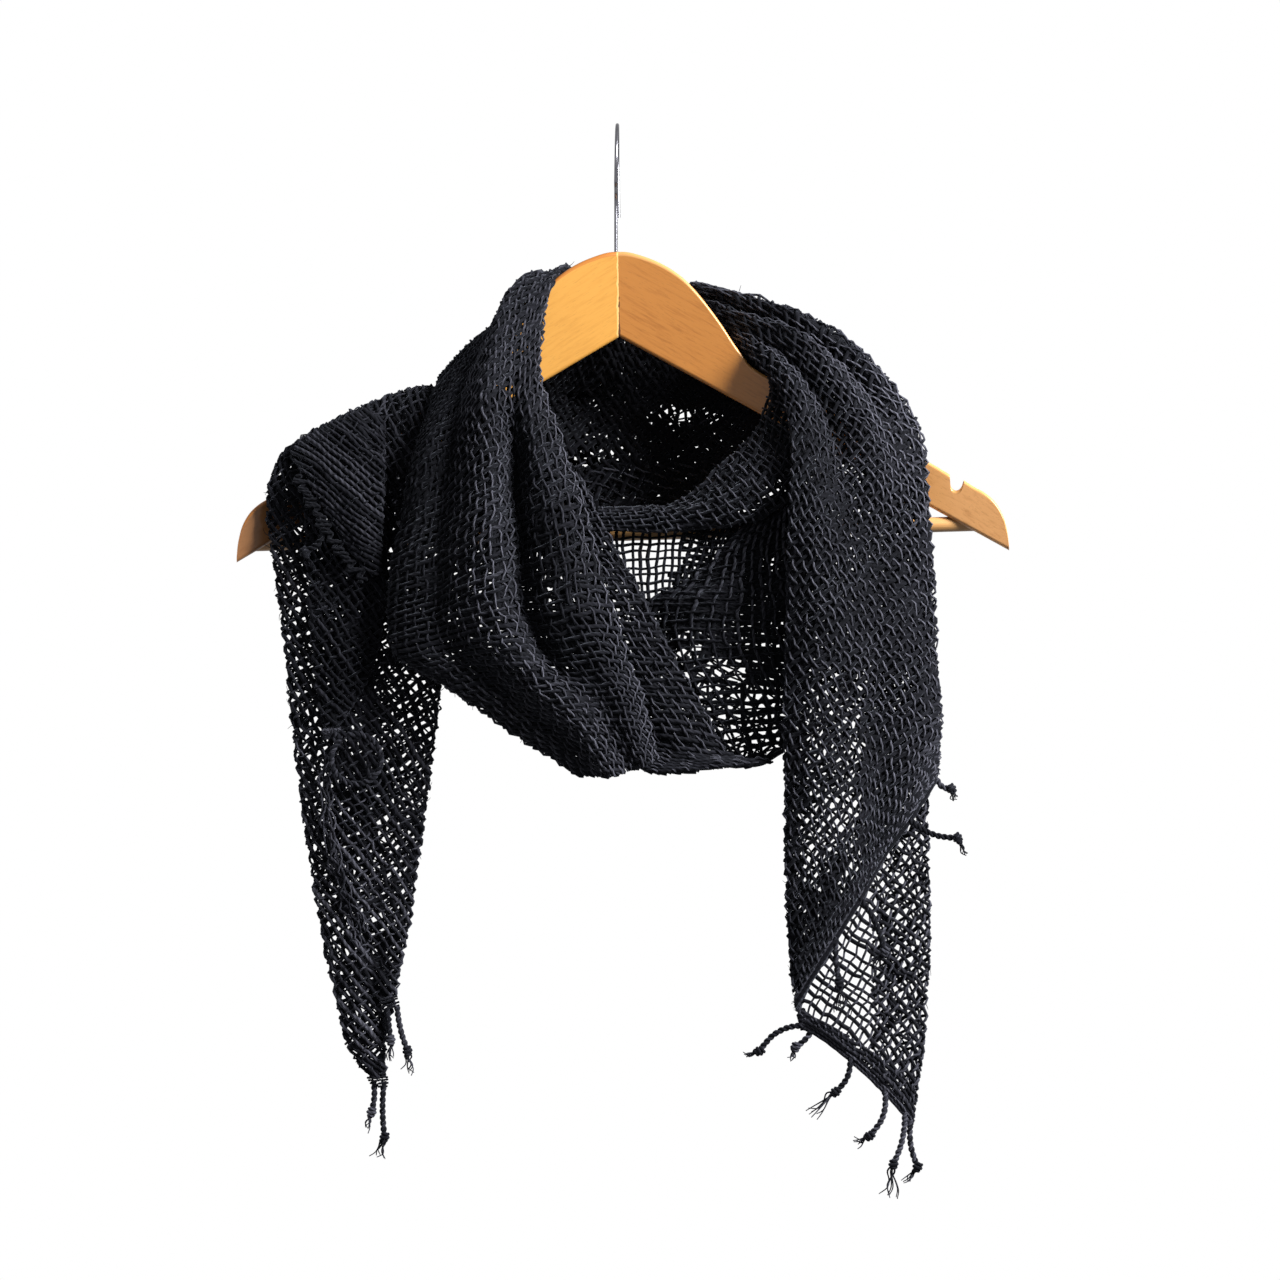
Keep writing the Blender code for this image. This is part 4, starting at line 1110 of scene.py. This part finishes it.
# The yarns along the strips that hold the tassels.
edging = {
    "reach": 0.0050,                     # width of a strip past the cloth's end
    "endYarns": (6, 0.00075),            # number and radius
    "sideYarns": (4, 0.00060),
    "spanned": (-0.1, 1.05),             # shares of the strip's width that they cover
    "crown": 0.0006,
    "stray": 0.0003,
    "shake": 0.00012,
    "uneven": 0.12,
    "unevenWaves": (20, 60),
    "turned": ((0.0, 0.0030), (2.2, 0.0020)),   # phase and reach of each turning yarn
    "turnedGirth": 0.00085,
    "turnedDeep": 0.0009,
    "turnShake": (0.8, 23),              # height and wave of their unevenness
    "reachShake": (0.35, 31),
    "turns": 12,
    "steps": 260,
    "darkTone": 0.1,
    "tone": (0.1, 1),
}


def endStrip(stretch):
    grid = clothPoints(stretch, np.linspace(0, 1, 40), np.array([0.99, 1.0]))
    heading = unit(grid[1] - grid[0])
    return np.array([grid[1] + heading * (edging["reach"] * share) for share in (0, 0.5, 1)])


def stripFrom(sections, count):
    lines = edgeLines(sections)
    lines = through(lines, np.linspace(0, len(sections) - 1, count))
    return arched(lines, np.array([0.0, 0.5, 1.0])).transpose(1, 0, 2)


def bandLines(strip, count, girth, rng):
    # Close parallel yarns along a strip, from its first row to its last.
    facingOut = facing(strip)
    lines = []
    for share in np.linspace(*edging["spanned"], count):
        row = np.clip(share * (len(strip) - 1), 0, len(strip) - 1.001)
        base, part = int(row), row - int(row)
        line = strip[base] * (1 - part) + strip[base + 1] * part
        crown = edging["crown"] * math.sin(math.pi * share)
        line = line + facingOut[1] * (rng.normal(0, edging["stray"]) + crown)
        steps = np.linspace(0, 1, len(line))
        line = line + rng.normal(0, edging["shake"], line.shape)
        uneven = edging["uneven"] * np.sin(steps * rng.uniform(*edging["unevenWaves"]))
        lines.append((line, girth * (1 + uneven)))
    return lines


def turnedLines(strip, rng):
    # The yarn that turns back and forth along the flap's edge.
    lines = []
    (uneven, wave), (wider, widerWave) = edging["turnShake"], edging["reachShake"]
    share = np.linspace(0, 1, edging["steps"])
    places = np.linspace(0, 1, strip.shape[1])
    left, middle, right = (readAlong(share, places, row) for row in strip)
    out = unit(right - left)
    for phase, reach in edging["turned"]:
        turn = phase + share * 2 * math.pi * edging["turns"] + uneven * np.sin(share * wave + phase)
        size = reach * (1 + wider * np.sin(share * widerWave + rng.uniform(0, 6)))
        line = middle + out * (np.sin(turn) * size)[:, None]
        line[:, 1] -= edging["turnedDeep"] * np.cos(turn)
        lines.append((line, np.full(len(line), edging["turnedGirth"])))
    return lines


fringes = {
    "fringe_right_front": {
        "on": rightTail, "tassels": [
            (1.00, 951, 789, 956, 801, -2), (0.80, 957, 838, 966, 855, -3),
            (0.45, 884, 951, 869, 969, 2), (0.28, 839, 982, 841, 1018, -1)]},
    "fringe_right_back": {
        "on": rightTailBack, "tassels": [
            (0.04, 759, 1051, 744, 1057, -4), (0.12, 795, 1047, 790, 1062, 1),
            (0.45, 835, 1092, 807, 1114, 3), (0.75, 869, 1136, 853, 1146, 4),
            (0.93, 893, 1164, 888, 1197, 2), (0.98, 917, 1167, 906, 1185, -2)]},
    "fringe_left_end": {
        "on": leftTail, "tassels": [
            (0.20, 371, 1112, 364, 1131, 1), (0.80, 384, 1137, 376, 1158, -1)]},
    "fringe_left_side": {
        "on": leftTail, "strip": sideEdge, "tassels": [
            (0.30, 390, 1040, 389, 1062, 0), (0.85, 407, 1051, 408, 1076, -1)]},
    "fringe_left_flap": {
        "on": leftFlap, "strip": flapEdge, "tone": (0.1, 0.5),
        "tassels": [(0.42, 304, 552, 312, 570, 6)]},
    "fringe_left_middle": {"on": leftMiddle, "tone": (0.45, 1.0), "tassels": []},
}
ring = {"x": 356, "down": 759, "radius": 25, "depth": -0.0625, "rootX": 333, "rootDown": 732,
        "rootDepth": -0.0590, "from": 128, "to": 470, "rise": 0.003}


def ringLines():
    turns = np.radians(np.linspace(ring["from"], ring["to"], 40))
    x = ring["x"] + ring["radius"] * np.cos(turns)
    down = ring["down"] - ring["radius"] * np.sin(turns)
    path = built(x, down, np.full(len(turns), ring["depth"]))
    path[:, 1] -= np.linspace(0, ring["rise"], len(turns))
    root = built(ring["rootX"], ring["rootDown"], np.array([ring["rootDepth"]]))
    return plied(np.vstack([root, path]), 2, tassel["plyApart"], tassel["plyGirth"],
                 tassel["twist"])


clump = {
    "path": [(327, 742, -60.5), (326, 790, -59.5), (332, 845, -58.5), (345, 890, -58),
             (362, 925, -57.5), (371, 948, -57)],
    "lines": 26,
    "girth": 0.00050,
    "girthRange": (0.6, 1.5),
    "points": (14, 34),
    "spread": (0.0025, 0.000875, 0.0015),
    "curl": (0.0006, 0.0024),
    "turn": (8, 26),
    "curlDown": 0.7,           # share of a curl's width that it takes in height
    "nearer": 0.0008,
    "deep": 0.0006,
}


def clumpLines(rng):
    # The torn and tangled selvedge that runs down the tail.
    spine = strand([built(np.array(x), np.array(down), np.array(depth / 1000))
                    for x, down, depth in clump["path"]], steps=14)
    lines = []
    for _ in range(clump["lines"]):
        start = rng.integers(0, len(spine) - 16)
        part = spine[start:start + rng.integers(*clump["points"])]
        shift = rng.normal(0, 1, 3) * clump["spread"]
        curl = rng.uniform(*clump["curl"])
        turn = np.linspace(0, rng.uniform(*clump["turn"]), len(part)) + rng.uniform(0, 6)
        line = part + shift
        line[:, 0] += curl * np.sin(turn)
        line[:, 1] -= clump["nearer"] + clump["deep"] * np.cos(turn * 1.3)
        line[:, 2] += curl * clump["curlDown"] * np.cos(turn)
        lines.append((line, np.full(len(line), clump["girth"] * rng.uniform(*clump["girthRange"]))))
    return lines


def fringeStrip(name, fringe):
    # Three lines of points: the strip's inner edge, its middle and its outer edge.
    if name == "fringe_left_side":
        return stripFrom(fringe["strip"], 2).transpose(1, 0, 2)
    if name == "fringe_left_flap":
        return stripFrom(fringe["strip"], 30)
    return endStrip(fringe["on"])


def fringeLines(name, fringe, rng):
    strip = fringeStrip(name, fringe)
    if name == "fringe_left_flap":
        lines = turnedLines(strip, rng)
    else:
        close = name in ("fringe_left_side", "fringe_left_end")
        lines = bandLines(strip, *edging["sideYarns" if close else "endYarns"], rng)
    for place, *rest in fringe["tassels"]:
        root = readAlong(place, np.linspace(0, 1, len(strip[1])), strip[1])
        lines += tasselLines(root, rest[0:2], rest[2:4], rest[4], rng)
    if name == "fringe_left_middle":
        lines += ringLines() + clumpLines(rng)
    return lines


fringeOf = {}
for number, (name, fringe) in enumerate(fringes.items()):
    rng = np.random.default_rng(yarn["seed"] + 40 + number)
    lines = fringeLines(name, fringe, rng)
    counts = [len(line) for line, _ in lines]
    tones = [rng.uniform(*fringe.get("tone", edging["tone"])) for _ in counts]
    if "strip" in fringe or name == "fringe_left_end":
        dark = edging["sideYarns"][0]
        tones[:dark] = [edging["darkTone"]] * dark
    cords = pathMesh(name + "_cords", *joined(lines), np.repeat(tones, counts), counts)
    made[name] = spin(cords, tassel["sides"], cordCotton)
    fringeOf.setdefault(fringe["on"]["node"], []).append(made[name])
    print(name, len(made[name].data.polygons), "faces")


def declare(piece, node):
    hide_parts(node)
    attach(piece, "root")


for stretch in stretches:
    net = made[stretch["node"]]
    declare(net, stretch["node"])
for name in fringes:
    declare(made[name], name)
print("cloth declared")

hanger = {
    "lowX": 619, "lowDown": 337, "pitch": math.radians(8.0),
    "roll": {-1: math.radians(0.5), 1: math.radians(1.3)},      # of the left and right half
    "thick": 0.0120, "round": 0.0022, "underside": math.radians(30.0), "reach": 0.2219,
    "sweep": 0.09, "bow": 0.020, "pitchedAbout": 0.012, "seam": 0.00006, "inset": 0.0004,
    "barGirth": 0.0043, "barLeft": (254, 543.8), "barRight": (980, 523.4), "barDepth": -0.0302,
    "barSteps": 25, "barSides": 28, "cornerSteps": 5, "stations": 4,
    "top": [                   # the upper edge: mm out from the middle, mm up
        (0.0, 49.2), (5.5, 48.9), (11.5, 47.4), (20.6, 44.0), (29.2, 39.4), (37.7, 33.0),
        (45.6, 24.4), (53.4, 14.1), (60.1, 4.2), (66.2, -5.7), (71.3, -12.9), (76.0, -18.8),
        (90.0, -27.8), (110.0, -39.0), (135.0, -52.8), (160.0, -66.4), (180.1, -78.2),
        (184.5, -81.0), (188.2, -83.4), (188.8, -84.6), (188.9, -88.0), (189.3, -90.8),
        (190.6, -92.4), (192.4, -92.9), (194.2, -92.2), (195.5, -90.4), (196.4, -88.0),
        (196.9, -87.2), (197.7, -87.8), (200.0, -89.4), (203.0, -91.3), (207.0, -93.5),
        (210.7, -96.2), (214.0, -99.5), (216.7, -103.4), (219.0, -108.3), (220.4, -113.5),
        (221.3, -118.0), (222.0, -124.9)],
}


def armPoint(side, out, height, back):
    mid = -out * math.tan(hanger["underside"]) + hanger["pitchedAbout"]
    roll = hanger["roll"][side]
    turnedX = side * out * math.cos(roll) - height * math.sin(roll)
    turnedZ = side * out * math.sin(roll) + height * math.cos(roll)
    depth = -(hanger["sweep"] * out + hanger["bow"] * (out / hanger["reach"]) ** 2)
    depth += back * math.cos(hanger["pitch"]) + (mid - height) * math.sin(hanger["pitch"])
    x = hanger["lowX"] + turnedX / drawing["unit"]
    down = hanger["lowDown"] - turnedZ / drawing["unit"]
    return built(np.array(x), np.array(down), np.array(depth))


def closedMesh(name, points, count, finish):
    # Joins rings of count points each into one closed skin.
    mesh, rings = bpy.data.meshes.new(name), len(points) // count
    faces = [tuple(range(count))[::-1]]
    for i in range(rings - 1):
        for k in range(count):
            a, b = i * count + k, i * count + (k + 1) % count
            faces.append((a, b, b + count, a + count))
    faces.append(tuple(range((rings - 1) * count, rings * count)))
    mesh.from_pydata([tuple(p) for p in points], [], faces)
    mesh.validate()
    if signedVolume(mesh) < 0:
        mesh.flip_normals()
    mesh.materials.append(finish)
    mesh.shade_smooth()
    mesh.set_sharp_from_angle(angle=math.radians(40))
    return placed(name, mesh)


def makeArm(name, side, finish):
    rows = np.array(hanger["top"]) / 1000
    rows = through(rows, np.linspace(0, len(rows) - 1, hanger["stations"] * (len(rows) - 1) + 1))
    half, points = hanger["thick"] / 2, []
    turns = np.linspace(0, math.pi / 2, hanger["cornerSteps"] + 1)
    for out, top in rows:
        out = max(out, hanger["seam"] / 2)
        low = -out * math.tan(hanger["underside"])
        deep = min(hanger["round"], (top - low) * 0.35)
        wide = hanger["round"]
        bend = [(half - wide + wide * math.sin(t), deep - deep * math.cos(t)) for t in turns]
        inset = min(hanger["inset"], (top - low - 2 * deep) * 0.3)
        flat = [(half, top - deep - inset), (half, low + deep + inset)]
        section = [(-back, top - drop) for back, drop in bend[::-1]]
        section += [(back, top - drop) for back, drop in bend] + flat
        section += [(back, low + drop) for back, drop in bend[::-1]]
        section += [(-back, low + drop) for back, drop in bend]
        section += [(-back, height) for back, height in flat[::-1]]
        points += [armPoint(side, out, height, back) for back, height in section]
    count = len(section)
    arm = closedMesh(name, points, count, finish)
    store(arm.data, "out", np.repeat(rows[:, 0], count))
    # Marks the rounded top edge, where painted shade or a painted highlight goes.
    store(arm.data, "rim", np.tile(np.arange(count) < 2 * len(turns), len(rows)))
    return arm


def tubeMesh(name, path, radius, sides, finish):
    path = np.asarray(path, float)
    side, other = ringsAlong(path)
    turns = (np.arange(sides) * 2 * math.pi / sides)[None, :, None]
    rings = path[:, None] + radius * (np.cos(turns) * side[:, None] + np.sin(turns) * other[:, None])
    return closedMesh(name, rings.reshape(-1, 3), sides, finish)


# near and far: tones by the middle and towards the tip; the left half darkens towards its tip as
# painted shade and the right half pales towards its tip as painted light.
woodLooks = {
    "woodLeft": {"turn": math.radians(30.5), "near": (0.535, 0.258, 0.045),
                 "far": (0.300, 0.132, 0.046), "glue": 1.0, "grain": 0.45,
                 "rim": (0.440, 0.155, 0.024)},
    "woodRight": {"turn": math.radians(-28.7), "near": (0.570, 0.226, 0.044),
                  "far": (0.860, 0.430, 0.160), "glue": 0.0, "grain": 0.8,
                  "rim": (0.640, 0.310, 0.100)},
    "woodBar": {"turn": math.radians(-1.6), "near": (0.580, 0.315, 0.115),
                "far": (0.580, 0.315, 0.115), "grain": 0.7},
}
wood = {
    "scale": 620.0, "stretch": 0.022, "detail": 5, "rough": 0.62,         # fibres
    "poreScale": 2.2, "poreSize": 0.17, "pore": 0.30, "poreTone": 0.4,
    "cloudScale": 28, "cloud": 0.35,
    "tones": ((0.30, (0.74, 0.66, 0.56)), (0.50, (0.97, 0.95, 0.93)), (0.70, (1.0, 1.0, 1.0))),
    "roughness": (0.30, 0.14), "bump": 0.12, "bumpDeep": 0.0004,
    "shader": {"Coat Weight": 0.30, "Coat Roughness": 0.18},
    # farFrom and farTo: where the far tone takes over, painted shade on the left half and painted
    # light on the right half.
    "farFrom": 0.12, "farTo": 0.185,       # where the far tone takes over, out from the middle
}
seam = {"crack": 0.0003, "glueTo": 0.0017, "stray": 0.0030, "crackTone": (0.10, 0.035, 0.01),
        "glueTone": (0.70, 0.42, 0.14), "chips": 160, "soft": 0.0002}


def grainGroup():
    # Long wood fibres, pores and a slow change of tone along local X.
    tree, start = newGroup("woodGrain", {"Vector": None, "Scale": wood["scale"],
                                         "Stretch": wood["stretch"]}, ("Fibre", "Pore", "Cloud"))
    shape = addNode(tree, "ShaderNodeCombineXYZ", {"X": start["Stretch"], "Y": 1, "Z": 1})
    pulled = addNode(tree, "ShaderNodeVectorMath", {0: start["Vector"], 1: shape.outputs[0]},
                     operation="MULTIPLY").outputs[0]
    finer = math2(tree, "MULTIPLY", start["Scale"], wood["poreScale"])
    pore = addNode(tree, "ShaderNodeTexVoronoi", {"Vector": pulled, "Scale": finer})
    addNode(tree, "NodeGroupOutput", {
        "Fibre": noiseAt(tree, pulled, start["Scale"], wood["detail"], wood["rough"]),
        "Pore": math2(tree, "LESS_THAN", pore.outputs["Distance"], wood["poreSize"]),
        "Cloud": noiseAt(tree, start["Vector"], wood["cloudScale"], 2.0)})
    return tree


grain = grainGroup()


def stepBelow(tree, value, edge, soft):
    # 1 below the edge, 0 above it, with a soft change between.
    return addNode(tree, "ShaderNodeMapRange", {
        "Value": value, "From Min": edge - soft, "From Max": edge + soft, "To Min": 1,
        "To Max": 0}, interpolation_type="SMOOTHSTEP").outputs["Result"]


def makeWood(name):
    look = woodLooks[name]
    made, tree, shader = newMaterial(name, wood["shader"])
    spot = ownPlace(tree)
    turned = addNode(tree, "ShaderNodeMapping", {"Vector": spot, "Rotation": (0, look["turn"], 0)})
    grains = addNode(tree, "ShaderNodeGroup", {}, node_tree=grain)
    give(tree, grains.inputs["Vector"], turned.outputs[0])
    fibre, out = grains.outputs["Fibre"], storedOn(tree, "out")["Fac"]
    # Painted shade towards the left tip and painted light towards the right tip, by distance from
    # the middle.
    middle = (wood["farFrom"] + wood["farTo"]) / 2
    near = stepBelow(tree, out, middle, wood["farTo"] - middle)
    cloud = math2(tree, "MULTIPLY_ADD", grains.outputs["Cloud"], wood["cloud"],
                  0.005 - wood["cloud"] / 2)
    tone = ramp(tree, math2(tree, "ADD", fibre, cloud), wood["tones"])
    base = mixColours(tree, look["grain"], mixColours(tree, near, look["far"], look["near"]), tone,
                      "MULTIPLY")
    mask = math2(tree, "MULTIPLY", grains.outputs["Pore"], wood["pore"])
    base = mixColours(tree, mask, base, tuple(wood["poreTone"] * part for part in look["near"]))
    if "rim" in look:
        # The rounded top edge takes painted shade on the left half and a painted highlight on the
        # right half.
        base = mixColours(tree, storedOn(tree, "rim")["Fac"], base, look["rim"])
        chipped = noiseAt(tree, spot, seam["chips"], 4.0)
        strayed = math2(tree, "MULTIPLY_ADD", chipped, -seam["stray"], out)
        glue = stepBelow(tree, strayed, seam["glueTo"] - 0.62 * seam["stray"], seam["soft"])
        glue = math2(tree, "MULTIPLY", glue, look["glue"])
        base = mixColours(tree, glue, base, seam["glueTone"])
        crack = stepBelow(tree, strayed, seam["crack"] - 0.5 * seam["stray"], seam["soft"])
        base = mixColours(tree, crack, base, seam["crackTone"])
    least, more = wood["roughness"]
    give(tree, shader["Base Color"], base)
    give(tree, shader["Roughness"], math2(tree, "MULTIPLY_ADD", fibre, more, least))
    give(tree, shader["Normal"], bumpFrom(tree, fibre, wood["bump"], wood["bumpDeep"]))
    return made


hook = {"girth": 0.0010, "inside": 0.0205, "stemX": 615.5, "stemFoot": -0.0900,
        "stemBend": -0.0470, "bendRadius": 0.010, "bendTurn": 68, "startTurn": 228,
        "end": -0.0500, "endSide": 0.0006, "endPinch": 0.0015, "sides": 16,
        "tones": ((0.35, (0.20, 0.20, 0.22)), (0.65, (0.25, 0.25, 0.28))), "smudges": 160,
        "roughness": (0.24, 0.05)}


def makeChrome():
    made, tree, shader = newMaterial("brightWire", {"Metallic": 1.0})
    smudge = noiseAt(tree, ownPlace(tree), hook["smudges"])
    least, more = hook["roughness"]
    give(tree, shader["Base Color"], ramp(tree, smudge, hook["tones"]))
    give(tree, shader["Roughness"], math2(tree, "MULTIPLY_ADD", smudge, more, least))
    return made


def hookPath():
    radius = hook["inside"] + hook["girth"]
    centre = hook["girth"] - radius
    footX = (hook["stemX"] - drawing["hookX"]) * drawing["unit"]
    path = [(footX, 0, height) for height in np.linspace(hook["stemFoot"], hook["stemBend"], 6)]
    for degrees in np.linspace(0.2, 1, 4) * hook["bendTurn"]:
        angle = math.radians(degrees)
        path.append((footX, -hook["bendRadius"] * (1 - math.cos(angle)),
                     hook["stemBend"] + hook["bendRadius"] * math.sin(angle)))
    for degrees in np.linspace(hook["startTurn"], 360, 12):
        angle = math.radians(degrees)
        path.append((footX * (360 - degrees) / (360 - hook["startTurn"]),
                     radius * math.sin(angle), centre + radius * math.cos(angle)))
    for degrees in np.linspace(12, 90, 7):
        angle = math.radians(degrees)
        path.append((0, radius * math.sin(angle), centre + radius * math.cos(angle)))
    for share in (0.3, 0.65, 1.0):
        path.append((hook["endSide"] * share, radius - hook["endPinch"] * share,
                     centre + (hook["end"] - centre) * share))
    return path


woods = {name: makeWood(name) for name in woodLooks}
leftArm = makeArm("left_half", -1, woods["woodLeft"])
rightArm = makeArm("right_half", 1, woods["woodRight"])
barEnds = [built(np.array(hanger[k][0]), np.array(hanger[k][1]), np.array(hanger["barDepth"]))
           for k in ("barLeft", "barRight")]
barPath = [barEnds[0] + (barEnds[1] - barEnds[0]) * share
           for share in np.linspace(0, 1, hanger["barSteps"])]
bar = tubeMesh("round_bar", barPath, hanger["barGirth"], hanger["barSides"], woods["woodBar"])
wireHook = tubeMesh("wire_hook", strand(hookPath(), steps=4), hook["girth"], hook["sides"],
                    makeChrome())
for piece, node, finish in (
        (leftArm, "hanger_arm_left", "wood"), (rightArm, "hanger_arm_right", "wood"),
        (bar, "trouser_bar", "wood"), (wireHook, "hook", "chrome")):
    declare(piece, node)
print("hanger ready")

studio = {
    "floorDown": -1.3,
    "floorHalf": 3.0,
    "white": (0.93, 0.93, 0.93),
    "glow": 0.9,
    "sky": 0.12,               # how strongly the white sky lights the scarf
    "glossySky": 0.40,         # what more of it shines in glossy surfaces
    "aim": (0.0, 0.0, -0.3),
    "sensor": 36,
}
lamps = {                      # place, size, power, and whether it shines in glossy surfaces
    "keyLight": ((1.15, -0.80, 0.55), 0.7, 78.0, True),
    "fillLight": ((-1.2, -1.8, 0.1), 1.4, 3.0, True),
    "backLight": ((1.0, 1.8, 0.2), 1.2, 70.0, False),
    "sideLight": ((-1.9, 0.8, 0.0), 1.2, 34.0, False),
}


def makeFloor():
    # A pale floor that lights itself evenly and sends no light back up.
    half, down = studio["floorHalf"], studio["floorDown"]
    mesh = bpy.data.meshes.new("paleFloor")
    mesh.from_pydata([(-half, -half, down), (half, -half, down), (half, half, down),
                      (-half, half, down)], [], [(0, 1, 2, 3)])
    mesh.materials.append(newMaterial("palePaper", {
        "Roughness": 0.9, "Base Color": studio["white"], "Emission Color": studio["white"],
        "Emission Strength": studio["glow"]})[0])
    floor = placed("paleFloor", mesh)
    floor.visible_diffuse = floor.visible_glossy = False


def makeLight(name, place, size, power, glossy):
    lamp = bpy.data.lights.new(name, "AREA")
    lamp.energy, lamp.size = power, size
    obj = placed(name, lamp)
    obj.location = place
    way = Vector(studio["aim"]) - Vector(place)
    obj.rotation_euler = way.to_track_quat("-Z", "Y").to_euler()
    obj.visible_glossy = glossy


makeFloor()
world = bpy.data.worlds.new("studioWhite")
world.use_nodes = True
tree = world.node_tree
sky = tree.nodes["Background"]
give(tree, sky.inputs["Color"], (1, 1, 1))
rays = addNode(tree, "ShaderNodeLightPath", {}).outputs
glossy = math2(tree, "MULTIPLY_ADD", rays["Is Glossy Ray"], studio["glossySky"], studio["sky"])
give(tree, sky.inputs["Strength"], math2(tree, "MAXIMUM", rays["Is Camera Ray"], glossy))
bpy.context.scene.world = world
for name, values in lamps.items():
    makeLight(name, *values)

camera = bpy.data.cameras.new("view")
camera.sensor_width = studio["sensor"]
camera.lens = studio["sensor"] * drawing["eyeAway"] / (drawing["wide"] * drawing["unit"])
eye = placed("view", camera)
eye.location = (drawing["eyeX"], -drawing["eyeAway"], drawing["eyeZ"])
eye.rotation_euler = (math.pi / 2, 0, 0)
bpy.context.scene.view_settings.view_transform = "Standard"
bpy.context.scene.camera = eye
print("studio ready")
